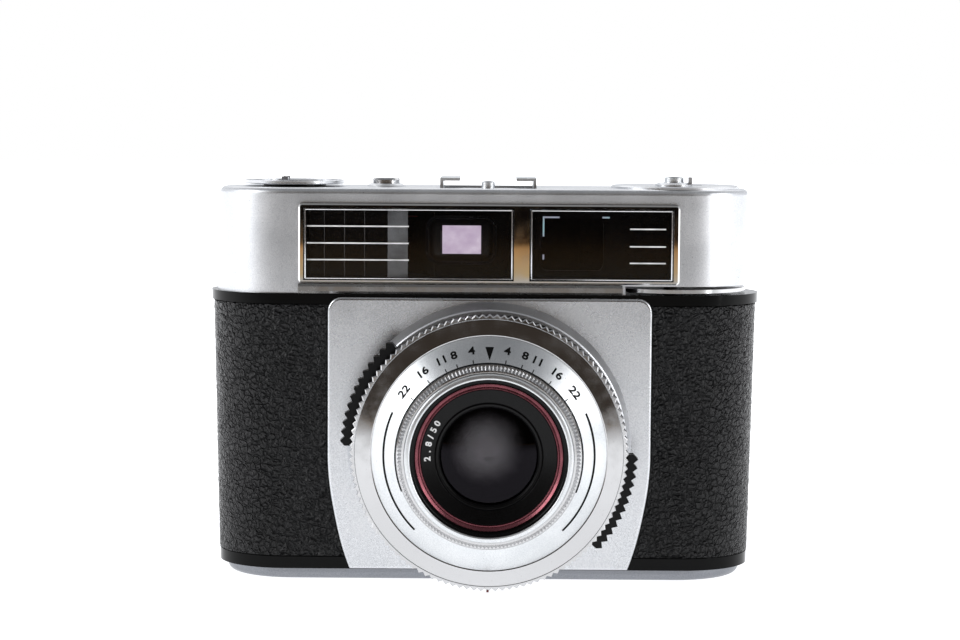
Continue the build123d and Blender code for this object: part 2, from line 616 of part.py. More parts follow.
# ---------------------------------------------------------------- viewfinder and meter
def finder_housing():
    """Black housing that carries the finder, the frame lines and the meter."""
    left = METER_SIDES[0] - FINDER_WALL
    right = FRAME_SIDES[1] + FINDER_WALL
    housing = block(left, right, HOUSING_FRONT_Y, HOUSING_BACK_Y, 64.9, HOUSING_TOP_Z)
    housing += block(BEZEL_LEFT_X + 0.9, BEZEL_RIGHT_X - 0.9, WING_FRONT_Y,
                     WING_FRONT_Y + 1.2, CHAMBER_SILL_Z, BEZEL_TOP_Z - 0.5)
    for x0, x1 in (METER_SIDES, FRAME_SIDES):
        housing -= block(x0, x1, HOUSING_FRONT_Y - 1, HOUSING_BACK_Y - FINDER_WALL,
                         CHAMBER_SILL_Z, CHAMBER_HEAD_Z)
    housing -= block(*FINDER_SIDES, HOUSING_FRONT_Y - 1, HOUSING_BACK_Y + 1,
                     CHAMBER_SILL_Z + 0.4, CHAMBER_HEAD_Z - 0.4)
    for x0, x1 in ((-45, METER_SIDES[1] - FINDER_WALL), (FRAME_SIDES[0] + 2.3, 45)):
        housing -= block(x0, x1, HOUSING_FRONT_Y - 1, WING_FRONT_Y, CHAMBER_SILL_Z, CHAMBER_HEAD_Z)
    housing -= block(FINDER_SIDES[1] - 1, FRAME_SIDES[0] + 1, -7, 3, 69, 81)
    housing -= post(UNLOCK_X, 0, UNLOCK_R + 1.0, CHAMBER_HEAD_Z - 1, COVER_TOP_Z)
    housing -= post(REWIND_X, 0, REWIND_COLLAR_R + RUN, CHAMBER_SILL_Z, COVER_TOP_Z)
    for x, y in SHOE_SCREWS:
        housing -= post(x, y, SHOE_SCREW_R, CHAMBER_HEAD_Z - 1, COVER_TOP_Z)
    housing -= post(SHOE_CENTRE_X, SHOE_STOP_Y, SHOE_STOP_SHANK_R, CHAMBER_HEAD_Z - 1, COVER_TOP_Z)
    return housing + finder_mask() + release_bracket()


def meter_cell():
    """Light-sensitive cell behind the left window, ribbed as its honeycomb lens."""
    right = METER_SIDES[1] - FINDER_WALL - 4.9
    cell = block(METER_WINDOW[0] + 0.7, right, HOUSING_FRONT_Y + 0.1, WING_FRONT_Y,
                 WINDOW_BOTTOM_Z + 0.2, WINDOW_TOP_Z - 0.2)
    for index in range(1, 4):
        x = METER_WINDOW[0] + 0.7 + index * (right - METER_WINDOW[0] - 0.7) / 4
        z = WINDOW_BOTTOM_Z + index * (WINDOW_TOP_Z - WINDOW_BOTTOM_Z) / 4
        cell -= block(x - 0.12, x + 0.12, HOUSING_FRONT_Y, HOUSING_FRONT_Y + 0.4, 60, 90)
        cell -= block(-45, right + 1, HOUSING_FRONT_Y, HOUSING_FRONT_Y + 0.4, z - 0.12, z + 0.12)
    return cell


def meter_movement():
    """Moving-coil movement in its round can."""
    can = post(METER_X, METER_Y, METER_R, CHAMBER_SILL_Z, METER_TOP_Z)
    return can + post(METER_X, METER_Y, METER_PIVOT_R, METER_TOP_Z, METER_TOP_Z + 1.5)


def meter_needle():
    """Pointer of the meter, with a counterweight tail."""
    needle = block(METER_X - 3, METER_X + 9.5, METER_Y - 0.2, METER_Y + 0.2,
                   METER_TOP_Z + 0.4, METER_TOP_Z + 0.7)
    needle += post(METER_X, METER_Y, 1.3, METER_TOP_Z + 0.4, METER_TOP_Z + 0.9)
    return needle - post(METER_X, METER_Y, METER_PIVOT_R + RUN, METER_TOP_Z, METER_TOP_Z + 2)


def finder_mask():
    """Black mask with the finder's rectangular opening."""
    x0, x1, z0, z1 = FINDER_RECT
    mask = block(*FINDER_SIDES, HOUSING_FRONT_Y + 1.4, HOUSING_FRONT_Y + 2.2,
                 CHAMBER_SILL_Z, CHAMBER_HEAD_Z)
    return mask - block(x0, x1, -FAR, 0, z0, z1)


def finder_objective():
    """Coated front lens of the finder."""
    x0, x1, z0, z1 = FINDER_RECT
    return block(x0 - 1, x1 + 1, HOUSING_FRONT_Y + 2.2, HOUSING_FRONT_Y + 3.7, z0 - 1, z1 + 1)


def frame_mask():
    """Mask behind the right window that carries the bright frame lines."""
    mask = block(FRAME_WINDOW[0] + 0.2, FRAME_WINDOW[1] - 0.2, HOUSING_FRONT_Y + 0.1,
                 WING_FRONT_Y, WINDOW_BOTTOM_Z + 0.2, WINDOW_TOP_Z - 0.2)
    hole = block(FRAME_WINDOW[0] + 2, FRAME_SIDES[1] - 1, BEZEL_Y, 0,
                 WINDOW_BOTTOM_Z + 1.8, WINDOW_TOP_Z - 1.8)
    return mask - fillet(hole.edges().filter_by(Axis.Y), 1.5)


def slanted_plate(x, thickness):
    """A plate at 45 degrees across a finder channel, the mirror or the beam splitter."""
    middle = (CHAMBER_SILL_Z + CHAMBER_HEAD_Z) / 2
    return Pos(x, -2, middle) * Rot(0, 0, 45) * Box(MIRROR_WIDTH, thickness, 15.0)


def accessory_shoe():
    """Folded sheet accessory shoe."""
    x0 = SHOE_CENTRE_X - SHOE_WIDTH / 2
    x1 = SHOE_CENTRE_X + SHOE_WIDTH / 2
    y1 = SHOE_FRONT_Y + SHOE_LENGTH
    lip_z = SHOE_FLOOR_Z + SHOE_CHANNEL
    shoe = block(x0, x1, SHOE_FRONT_Y, y1, SHOE_FLOOR_Z - SHOE_SHEET, SHOE_FLOOR_Z)
    for side in (-1, 1):
        wall = SHOE_CENTRE_X + side * SHOE_WIDTH / 2
        lip = SHOE_CENTRE_X + side * SHOE_GAP / 2
        inner = wall - side * SHOE_SHEET
        top = lip_z + SHOE_SHEET
        shoe += block(min(wall, inner), max(wall, inner), SHOE_FRONT_Y, y1,
                      SHOE_FLOOR_Z - SHOE_SHEET, top)
        shoe += block(min(wall, lip), max(wall, lip), SHOE_FRONT_Y, y1, lip_z, top)
    for x, y in SHOE_SCREWS:
        shoe -= post(x, y, SHOE_SCREW_R, HOUSING_TOP_Z - 1, SHOE_FLOOR_Z + 1)
        shoe -= post(x, y, SHOE_SCREW_HEAD_R, SHOE_FLOOR_Z - SHOE_SCREW_HEAD_H, SHOE_FLOOR_Z + 1)
    return shoe


def shoe_screws():
    """Countersunk screws of the accessory shoe."""
    screws = []
    for x, y in SHOE_SCREWS:
        head_z = SHOE_FLOOR_Z - SHOE_SCREW_HEAD_H
        screw = post(x, y, SHOE_SCREW_HEAD_R - SEAT, head_z, SHOE_FLOOR_Z)
        screws.append(screw + post(x, y, SHOE_SCREW_R - SEAT, CHAMBER_HEAD_Z + 0.2, SHOE_FLOOR_Z))
    return screws


def shoe_stop():
    """Chromed stud in front of the shoe, the light socket of the flash contact."""
    top = COVER_TOP_Z + 1.6
    stud = turned(SHOE_CENTRE_X, SHOE_STOP_Y, [(0, COVER_TOP_Z), (SHOE_STOP_R, COVER_TOP_Z),
                                               (SHOE_STOP_R, top - 0.3), (SHOE_STOP_R - 0.35, top),
                                               (0, top)])
    shank_r = SHOE_STOP_SHANK_R - SEAT
    return stud + post(SHOE_CENTRE_X, SHOE_STOP_Y, shank_r, HOUSING_TOP_Z - 1, COVER_TOP_Z + 0.5)


def eyepiece_frame():
    """Black ring round the finder's eyepiece."""
    wall_y = COVER_DEPTH / 2
    ring = Rot(90, 0, 0) * Cylinder(EYEPIECE_R, wall_y + 0.6 - HOUSING_BACK_Y)
    ring = Pos(EYEPIECE_X, (wall_y + 0.6 + HOUSING_BACK_Y) / 2, EYEPIECE_Z) * ring
    bore = Pos(EYEPIECE_X, wall_y, EYEPIECE_Z) * Rot(90, 0, 0)
    bore *= Cylinder(EYEPIECE_R - EYEPIECE_WALL, 20)
    return ring - bore


def eyepiece_lens():
    """Rear lens of the finder."""
    y = COVER_DEPTH / 2 - 1.5
    radius = EYEPIECE_R - EYEPIECE_WALL - SEAT
    return Pos(EYEPIECE_X, y, EYEPIECE_Z) * Rot(90, 0, 0) * Cylinder(radius, 1.6)


# ---------------------------------------------------------------- top controls
def rewind_collar():
    """Black cup that rises with the rewind knob."""
    top = COVER_TOP_Z + 0.45
    low = top - REWIND_COLLAR_H
    cup = post(REWIND_X, 0, REWIND_COLLAR_R, low, top)
    cup -= post(REWIND_X, 0, REWIND_COLLAR_R - REWIND_COLLAR_WALL, low + 0.8, top + 1)
    return cup - post(REWIND_X, 0, REWIND_SHAFT_R + RUN, 0, FAR)


def rewind_shaft():
    """Rewind shaft with the fork that turns the cassette's spool."""
    shaft = post(REWIND_X, 0, REWIND_FORK_R, CHAMBER_TOP_Z - 6, RIM_TOP_Z + 0.7)
    shaft += post(REWIND_X, 0, REWIND_SHAFT_R, RIM_TOP_Z, COVER_TOP_Z + 0.55)
    return shaft - block(REWIND_X - 1, REWIND_X + 1, -9, 9, 0, CHAMBER_TOP_Z - 3)


def rewind_disc():
    """Thin chromed rewind disc with a rolled rim, and the crank's ears and pin."""
    low = COVER_TOP_Z + 0.55
    rim = REWIND_DISC_R
    top = low + REWIND_DISC_T
    floor = low + 0.35
    disc = turned(REWIND_X, 0, [(0, low), (rim - 0.2, low), (rim, low + 0.2), (rim, top - 0.15),
                                (rim - 0.25, top), (rim - 0.6, top - 0.15), (rim - 0.6, floor),
                                (0, floor)])
    disc -= post(REWIND_X + CRANK_HANDLE_AT, 0, CRANK_HALF_W + 0.3, 0, FAR)
    x = REWIND_X + CRANK_HINGE_AT
    for side in (-1, 1):
        y = side * 2.8
        disc += block(x - 0.7, x + 0.7, y - 0.4, y + 0.4, low + 0.2, CRANK_HINGE_Z + 0.6)
    return disc + Pos(x, 0, CRANK_HINGE_Z) * Rot(90, 0, 0) * Cylinder(CRANK_PIN_R, 6.4)


def rewind_crank():
    """Fold-out rewind crank with its small handle."""
    x = REWIND_X + CRANK_HINGE_AT
    end = REWIND_X + CRANK_HANDLE_AT
    low = CRANK_HINGE_Z - 0.6
    arm = block(x, end, -CRANK_HALF_W, CRANK_HALF_W, low, low + 0.45)
    arm += post(end, 0, CRANK_HALF_W, low, low + 0.45)
    arm += Pos(x, 0, CRANK_HINGE_Z) * Rot(90, 0, 0) * Cylinder(0.6, 4.4)
    arm += post(end, 0, CRANK_HANDLE_R, low - 2.6, low + 0.2)
    return arm - Pos(x, 0, CRANK_HINGE_Z) * Rot(90, 0, 0) * Cylinder(CRANK_PIN_R + RUN, 20)


def unlock_bezel():
    """Flared ring round the rewind release button."""
    return turned(UNLOCK_X, 0, [(UNLOCK_R + RUN, COVER_TOP_Z), (4.4, COVER_TOP_Z),
                                (4.2, COVER_TOP_Z + 0.3), (3.5, COVER_TOP_Z + 0.7),
                                (UNLOCK_R + RUN, COVER_TOP_Z + 0.7)])


def unlock_button():
    """Round chromed button that frees the rewind knob."""
    top = COVER_TOP_Z + 1.9
    return turned(UNLOCK_X, 0, [(0, top - 3.2), (UNLOCK_R, top - 3.2), (UNLOCK_R, top - 0.4),
                                (UNLOCK_R - 0.4, top), (0, top)])


def wind_shaft():
    """Wind shaft with its gear; it carries the lever."""
    shaft = post(WIND_X, 0, WIND_SHAFT_R, CHAMBER_TOP_Z + 1, COVER_TOP_Z - 14)
    return shaft + gear(WIND_GEAR_TEETH, WIND_X, 0, 0)


def wind_lever():
    """Round-edged wind lever with its thumb tab behind the body."""
    lever = post(WIND_X, 0, LEVER_R, LEVER_Z, LEVER_Z + LEVER_T)
    tab = block(LEVER_R - 3, LEVER_R + LEVER_TAB_REACH, -LEVER_TAB_HALF_W, LEVER_TAB_HALF_W,
                LEVER_Z, LEVER_Z + LEVER_T)
    tab = fillet(tab.edges().filter_by(Axis.Z).sort_by(Axis.X)[-2:], 2.5)
    lever += Pos(WIND_X, 0, 0) * Rot(0, 0, LEVER_TAB_ANGLE) * tab
    return lever - post(WIND_X, 0, WIND_SHAFT_R, 0, FAR)


def sprocket():
    """Film sprocket with its axle and two rings of teeth."""
    drum = post(SPROCKET_X, SPROCKET_Y, SPROCKET_R, LENS_Z - SPROCKET_HALF_L, LENS_Z + SPROCKET_HALF_L)
    drum += post(SPROCKET_X, SPROCKET_Y, SPROCKET_AXLE_R, CHAMBER_BOTTOM_Z - 1.5, GEAR_Z + GEAR_T)
    for z in (LENS_Z - SPROCKET_ROW_Z, LENS_Z + SPROCKET_ROW_Z):
        for index in range(SPROCKET_TEETH):
            tooth = Pos(SPROCKET_R + 0.2, 0, z) * Box(1.0, 1.2, 1.6)
            drum += Pos(SPROCKET_X, SPROCKET_Y, 0) * Rot(0, 0, 360 / SPROCKET_TEETH * index) * tooth
    return drum + sprocket_gear()


def sprocket_gear():
    """Gear on the sprocket's axle, in mesh with the wind gear."""
    toward = math.atan2(-SPROCKET_Y, WIND_X - SPROCKET_X)
    turned_by = (toward + math.pi) * WIND_GEAR_TEETH / SPROCKET_GEAR_TEETH
    phase = toward + math.pi / SPROCKET_GEAR_TEETH + turned_by
    return gear(SPROCKET_GEAR_TEETH, SPROCKET_X, SPROCKET_Y, phase)


def take_up_spool():
    """Take-up spool with flanges and a film slot."""
    spool = post(WIND_X, 0, WIND_SHAFT_R, CHAMBER_BOTTOM_Z - 1.5, CHAMBER_TOP_Z + 0.8)
    spool += post(WIND_X, 0, SPOOL_R, CHAMBER_BOTTOM_Z + 0.5, CHAMBER_TOP_Z - 0.5)
    for z in (LENS_Z - 18.5, LENS_Z + 17.7):
        spool += post(WIND_X, 0, SPOOL_R + SPOOL_FLANGE, z, z + 0.8)
    return spool - block(WIND_X - 0.5, WIND_X + 0.5, 3, 9, LENS_Z - 6, LENS_Z + 6)


def counter_window():
    """The frame counter's window, as a cutter."""
    return block(WIND_X + COUNTER_WINDOW[0], WIND_X + COUNTER_WINDOW[1], -COUNTER_WINDOW_HALF_W,
                 COUNTER_WINDOW_HALF_W, COVER_TOP_Z - 3, COVER_TOP_Z + 3)


def counter_plate():
    """Round chromed plate round the release, with the counter's window and pivot."""
    plate = turned(WIND_X, 0, [(0, COVER_TOP_Z), (COUNTER_PLATE_R, COVER_TOP_Z),
                               (COUNTER_PLATE_R, COVER_TOP_Z + 0.4),
                               (COUNTER_PLATE_R - 0.5, COVER_TOP_Z + 0.7), (0, COVER_TOP_Z + 0.7)])
    plate += post(WIND_X, 0, COUNTER_PIN_R, COVER_TOP_Z - 2.6, COVER_TOP_Z + 0.2)
    plate += release_collar()
    plate -= counter_window()
    return plate - post(RELEASE_X, RELEASE_Y, RELEASE_R + RUN, COVER_TOP_Z - 3, FAR)


def counter_dial():
    """Numbered frame-counter dial under the top cover."""
    z = COVER_TOP_Z - COVER_T - 1.0
    dial = post(WIND_X, 0, COUNTER_DIAL_R, z, z + 0.7)
    return dial - post(WIND_X, 0, COUNTER_PIN_R + RUN, 0, FAR)


def release_collar():
    """Collar round the release button, with an upright guard."""
    z = COVER_TOP_Z + 0.7
    collar = turned(RELEASE_X, RELEASE_Y, [(RELEASE_R + RUN, z), (4.1, z), (4.1, z + 0.4),
                                           (3.4, z + 0.8), (RELEASE_R + RUN, z + 0.8)])
    fin = block(RELEASE_X + 3.1, RELEASE_X + 3.9, RELEASE_Y - 1.6, RELEASE_Y + 1.6, z + 0.2, z + 2.0)
    return collar + fin


def release_button():
    """Shutter release with its rod."""
    top = COVER_TOP_Z + 2.8
    button = turned(RELEASE_X, RELEASE_Y, [(0, top - 3.4), (RELEASE_R, top - 3.4),
                                           (RELEASE_R, top - 0.3), (RELEASE_R - 0.4, top),
                                           (0.9, top - 0.25), (0, top - 0.3)])
    button += post(RELEASE_X, RELEASE_Y, 1.9, top - 5.0, top - 4.2)
    return button + post(RELEASE_X, RELEASE_Y, RELEASE_ROD_R, COVER_TOP_Z - 16, top - 3)


def release_bracket():
    """Bracket that guides the release rod."""
    wing_back = WING_FRONT_Y + FINDER_WALL
    left = min(RELEASE_X - 4.4, BEZEL_RIGHT_X - 2)
    plate = block(left, RELEASE_X + 3.6, wing_back, RELEASE_Y + 2.4, BRACKET_Z, BRACKET_Z + 1)
    return plate - post(RELEASE_X, RELEASE_Y, RELEASE_ROD_R + RUN, 0, FAR)


# ---------------------------------------------------------------- shutter and lens
def shutter_case():
    """Barrel of the shutter, fixed to the body's front wall."""
    back = CASTING_FRONT_Y
    front = FACE_BACK_Y
    inner = CASE_R - CASE_WALL
    throat = SHUTTER_Y - 3.2
    mouth = CASE_MOUTH_R
    return lens_turned([(REAR_LENS_R, back + 3), (mouth, back + 3), (mouth, back), (CASE_R, back),
                        (CASE_R, COLLAR_Y - SEAT), (CASE_FLANGE_R, COLLAR_Y - SEAT),
                        (CASE_FLANGE_R, GRIP_BACK_Y + GAP), (CASE_R, GRIP_BACK_Y + GAP),
                        (CASE_R, front), (MIDDLE_LENS_R, front), (MIDDLE_LENS_R, throat),
                        (CASE_THROAT_R, throat), (CASE_THROAT_R, front + CASE_FRONT_T),
                        (inner, front + CASE_FRONT_T), (inner, back - CASE_BACK_T),
                        (mouth, back - CASE_BACK_T), (mouth, back - 6.5), (REAR_LENS_R, back - 6.5)])


def lens_collar():
    """Chromed collar between the front plate and the rings."""
    return lens_turned([(CASE_R + SEAT, PLATE_Y), (COLLAR_R, PLATE_Y), (COLLAR_R, PLATE_Y - 0.6),
                        (COLLAR_FRONT_R, COLLAR_Y + 0.3), (COLLAR_FRONT_R - 0.3, COLLAR_Y),
                        (CASE_R + SEAT, COLLAR_Y)])


def aperture_ring():
    """Black ring behind the speed ring, which carries the two grips."""
    return lens_ring(GRIP_BASE_R, CASE_R + RUN, GRIP_BACK_Y, GRIP_FRONT_Y)


def grip_tabs():
    """Two serrated grips of the aperture ring."""
    grips = []
    for start, stop, teeth in GRIPS:
        points = serrated(teeth, GRIP_TIP_R, GRIP_TOOTH, start, stop)
        points.append(clockwise(GRIP_TIP_R - GRIP_TOOTH, stop))
        middle = (start + stop) / 2
        points += [clockwise(GRIP_BASE_R - 3, stop), clockwise(GRIP_BASE_R - 4, middle),
                   clockwise(GRIP_BASE_R - 3, start)]
        tab = lens_plate(points, GRIP_BACK_Y - 0.4, GRIP_FRONT_Y + 0.4)
        grips.append(tab - lens_disc(GRIP_BASE_R + SEAT / 2, 0, -FAR))
    return grips


def speed_ring():
    """Large chromed ring with a serrated rim and a polished band."""
    ring = lens_turned([(CASE_R + RUN, SPEED_BACK_Y), (SPEED_RING_R - 0.8, SPEED_BACK_Y),
                        (SPEED_RING_R - 0.8, FACE_RIM_Y + 0.4), (SPEED_BAND_R, FACE_RIM_Y + 0.2),
                        (FACE_R + RUN, FACE_RIM_Y), (FACE_R + RUN, FACE_BACK_Y),
                        (CASE_R + RUN, FACE_BACK_Y)])
    outline = serrated(SPEED_TEETH, SPEED_RING_R, SPEED_TOOTH, 0, 360)
    teeth = lens_plate(outline, SPEED_BACK_Y - 0.3, FACE_RIM_Y + 0.5)
    return ring + (teeth - lens_disc(SPEED_RING_R - 2, 0, -FAR))


def scale_face():
    """Fixed sloping face that carries the depth-of-field scale."""
    bore = FOCUS_R + RUN
    return lens_turned([(FACE_R, FACE_BACK_Y), (FACE_R, FACE_RIM_Y), (bore, FACE_FRONT_Y),
                        (bore, FACE_FRONT_Y + 3.2), (FACE_R - 2.6, FACE_BACK_Y)])


def focus_ring():
    """Focusing ring with a sloping, knurled front edge."""
    bore = FRONT_CELL_R + RUN
    return lens_turned([(bore, FOCUS_BACK_Y), (FOCUS_R, FOCUS_BACK_Y),
                        (FOCUS_R, FACE_FRONT_Y - 0.2), (FOCUS_R - 1.2, FOCUS_FRONT_Y),
                        (bore, FOCUS_FRONT_Y)])


def filter_ring():
    """Barrel of the front cell, with the filter thread at its front."""
    thread_end = FILTER_FRONT_Y + FILTER_THREAD_L
    return lens_turned([(NAME_RING_R, CELL_BACK_Y), (FRONT_CELL_R, CELL_BACK_Y),
                        (FRONT_CELL_R, FILTER_FRONT_Y + 0.3), (FRONT_CELL_R - 0.3, FILTER_FRONT_Y),
                        (FILTER_THREAD_R, FILTER_FRONT_Y), (FILTER_THREAD_R, thread_end),
                        (SHOULDER_R, thread_end), (SHOULDER_R, CELL_BACK_Y - 1),
                        (NAME_RING_R, CELL_BACK_Y - 1)])


def red_ring():
    """Dark red anodised ring inside the filter thread."""
    back = CELL_BACK_Y - 1
    front = FILTER_FRONT_Y + FILTER_THREAD_L + 0.1
    return lens_turned([(RED_RING_R, back), (SHOULDER_R, back), (SHOULDER_R, front + 0.1),
                        (SHOULDER_R - 0.2, front), (RED_RING_R, front + 0.6)])


def name_ring():
    """Black ring round the front element."""
    back = CELL_BACK_Y - 1
    front = FILTER_FRONT_Y + FILTER_THREAD_L + 0.8
    return lens_turned([(NAME_RING_R, back), (RED_RING_R, back), (RED_RING_R, front),
                        (NAME_RING_R, front + 1.4)])


def lens_element(radius, y_back, y_front, bulge_back, bulge_front):
    """A round lens element; a positive bulge swells outwards."""
    back_mid = (radius / 2, y_back + cap_height(radius, bulge_back), 0)
    front_mid = (radius / 2, y_front - cap_height(radius, bulge_front), 0)
    edge = [Line((0, y_back + bulge_back, 0), (0, y_front - bulge_front, 0)),
            ThreePointArc((0, y_front - bulge_front, 0), front_mid, (radius, y_front, 0)),
            Line((radius, y_front, 0), (radius, y_back, 0)),
            ThreePointArc((radius, y_back, 0), back_mid, (0, y_back + bulge_back, 0))]
    return Pos(0, 0, LENS_Z) * revolve(make_face(edge), Axis.Y)


def cap_height(radius, bulge):
    """Height of a spherical cap half-way out from its middle; the rim's height is 0."""
    sphere = (radius ** 2 + bulge ** 2) / (2 * bulge)
    half_way = math.sqrt(sphere ** 2 - (radius / 2) ** 2)
    return bulge - sphere + math.copysign(half_way, bulge)


def front_element():
    """Front lens element."""
    return lens_element(NAME_RING_R, CELL_BACK_Y, CELL_BACK_Y - 1.6, -0.3, 1.1)


def middle_element():
    """Middle lens element."""
    return lens_element(MIDDLE_LENS_R, FACE_BACK_Y + 2.6, FACE_BACK_Y + 1.0, -0.4, -0.5)


def rear_element():
    """Cemented rear pair, drawn as one piece of glass."""
    return lens_element(REAR_LENS_R - SEAT, CASTING_FRONT_Y + 1.6, CASTING_FRONT_Y - 2.2, 1.1, 0.4)


def iris_blade(index):
    """One crescent blade of the iris, in its own layer, fully open."""
    start = -360 / IRIS_BLADES * index
    span = -66
    y = IRIS_Y - GAP - BLADE_PITCH * index
    outline = []
    for step in range(13):
        outline.append(clockwise(IRIS_OPEN_R, start + span * step / 12))
    for step in range(12, -1, -1):
        outline.append(clockwise(2 * IRIS_PIVOT_R - IRIS_OPEN_R, start + span * step / 12))
    blade = lens_plate(outline, y, y - BLADE_T)
    x, z = clockwise(IRIS_PIVOT_R, start)
    blade += lens_plate_disc(x, z, 1.9, y)
    return blade - lens_hole(x, z, IRIS_PIN_R + RUN)


def lens_plate_disc(x, z, radius, y):
    """A thin round boss on a blade."""
    return Pos(x, y - BLADE_T / 2, z + LENS_Z) * Rot(90, 0, 0) * Cylinder(radius, BLADE_T)


def lens_hole(x, z, radius):
    """A long cutter parallel to the lens axis."""
    return Pos(x, -25, z + LENS_Z) * Rot(90, 0, 0) * Cylinder(radius, 60)


def shutter_plate():
    """Fixed plate with the light opening and the pivot pins of both sets of blades."""
    plate = lens_ring(CASE_R - CASE_WALL - SEAT / 2, APERTURE_R, SHUTTER_Y + 0.9, SHUTTER_Y)
    for index in range(IRIS_BLADES):
        x, z = clockwise(IRIS_PIVOT_R, -360 / IRIS_BLADES * index)
        pin = Pos(x, (IRIS_Y + SHUTTER_Y + 0.9) / 2, z + LENS_Z) * Rot(90, 0, 0)
        plate += pin * Cylinder(IRIS_PIN_R, IRIS_Y - SHUTTER_Y - 0.9)
    for index in range(SHUTTER_BLADES):
        x, z = clockwise(BLADE_PIVOT_R, -360 / SHUTTER_BLADES * index)
        pin = Pos(x, SHUTTER_Y - SHUTTER_BLADES * BLADE_PITCH / 2, z + LENS_Z) * Rot(90, 0, 0)
        plate += pin * Cylinder(BLADE_PIN_R, SHUTTER_BLADES * BLADE_PITCH + 0.4)
    return plate


def shutter_blade(index):
    """One of the shutter's blades, in its own layer, closed."""
    start = -360 / SHUTTER_BLADES * index
    y = SHUTTER_Y - GAP - BLADE_PITCH * index
    outline = [clockwise(0.6, start + 30), clockwise(16.6, start + 3), clockwise(16.6, start - 5)]
    for step in range(7):
        outline.append(clockwise(9.4, start - 30 - step * 93 / 6))
    blade = lens_plate(outline, y, y - BLADE_T)
    x, z = clockwise(BLADE_PIVOT_R, start)
    return blade - lens_hole(x, z, BLADE_PIN_R + RUN)


# ---------------------------------------------------------------- write every sub-part
def nodes():
    """Every sub-part by its name."""
    parts = {
        "body_casting": body_casting(),
        "leather_left": front_leather(-80, 0),
        "leather_right": front_leather(0, 80),
        "back_door": back_door(),
        "back_leather": back_leather(),
        "back_latch": back_latch(),
        "hinge_pin": hinge_pin(),
        "pressure_plate": pressure_plate(),
        "plate_springs": plate_springs(),
        "base_plate": base_plate(),
        "tripod_bush": tripod_bush(),
        "base_screws": base_screws(),
        "front_plate": front_plate(),
        "front_trim": front_trim(),
        "top_cover": top_cover(),
        "window_bezel": window_bezel(),
        "meter_window": window_glass(*METER_WINDOW),
        "frame_window": window_glass(*FRAME_WINDOW),
        "finder_housing": finder_housing(),
        "meter_cell": meter_cell(),
        "meter_movement": meter_movement(),
        "meter_needle": meter_needle(),
        "finder_objective": finder_objective(),
        "frame_mask": frame_mask(),
        "finder_mirrors": [slanted_plate(15.5, 0.8), slanted_plate(-4, 0.6)],
        "eyepiece_frame": eyepiece_frame(),
        "eyepiece_lens": eyepiece_lens(),
        "accessory_shoe": accessory_shoe(),
        "shoe_screws": shoe_screws(),
        "shoe_stop": shoe_stop(),
        "rewind_collar": rewind_collar(),
        "rewind_shaft": rewind_shaft(),
        "rewind_disc": rewind_disc(),
        "rewind_crank": rewind_crank(),
        "unlock_button": unlock_button(),
        "wind_shaft": wind_shaft(),
        "wind_lever": wind_lever(),
        "sprocket": sprocket(),
        "take_up_spool": take_up_spool(),
        "counter_plate": counter_plate(),
        "counter_dial": counter_dial(),
        "release_button": release_button(),
    }
    return parts


def lens_nodes():
    """Every sub-part of the shutter and the lens by its name."""
    parts = {
        "shutter_case": shutter_case(),
        "lens_collar": lens_collar(),
        "aperture_ring": aperture_ring(),
        "grip_tabs": grip_tabs(),
        "speed_ring": speed_ring(),
        "scale_face": scale_face(),
        "focus_ring": focus_ring(),
        "filter_ring": filter_ring(),
        "red_ring": red_ring(),
        "name_ring": name_ring(),
        "front_element": front_element(),
        "middle_element": middle_element(),
        "rear_element": rear_element(),
        "iris_blades": [iris_blade(index) for index in range(IRIS_BLADES)],
        "shutter_plate": shutter_plate(),
    }
    for index in range(SHUTTER_BLADES):
        parts[f"shutter_blade_{index + 1}"] = shutter_blade(index)
    return parts


for name, shape in {**nodes(), **lens_nodes()}.items():
    solid = Compound(children=shape) if isinstance(shape, list) else shape
    export_step(solid, f"parts/{name}.step")
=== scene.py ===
"""Looks of a compact 35 mm film camera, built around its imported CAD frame.

Sizes are in millimetres and are turned to metres where a mesh is made. Places come from the frame.
"""
import logging
import math
from dataclasses import dataclass
from enum import Enum
from typing import Callable, Iterable, Sequence

import bpy
from mathutils import Matrix, Vector


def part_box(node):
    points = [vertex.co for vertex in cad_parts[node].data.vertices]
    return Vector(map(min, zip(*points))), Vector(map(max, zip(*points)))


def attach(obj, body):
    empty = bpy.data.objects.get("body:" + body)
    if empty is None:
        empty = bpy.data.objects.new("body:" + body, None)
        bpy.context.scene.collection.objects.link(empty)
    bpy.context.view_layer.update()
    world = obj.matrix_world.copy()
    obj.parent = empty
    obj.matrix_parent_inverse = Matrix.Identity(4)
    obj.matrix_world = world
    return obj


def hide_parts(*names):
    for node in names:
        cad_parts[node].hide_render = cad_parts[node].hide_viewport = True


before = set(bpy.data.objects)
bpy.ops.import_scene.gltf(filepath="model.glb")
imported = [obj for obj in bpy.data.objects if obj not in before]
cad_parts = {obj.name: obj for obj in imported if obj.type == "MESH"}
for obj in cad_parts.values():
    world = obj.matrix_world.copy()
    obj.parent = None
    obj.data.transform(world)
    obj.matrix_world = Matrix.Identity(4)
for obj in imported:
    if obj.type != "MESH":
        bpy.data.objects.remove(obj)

LOG = logging.getLogger("film_camera")
MM = 0.001
MERGE = 0.002 * MM
CAP_SHARE = 0.7  # height of a capital in the font, as a share of its size
BOLDER_MM = 0.07  # added to each side of a stroke, as engraving tools leave it
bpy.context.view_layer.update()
Profile = Sequence[tuple[float, float]]


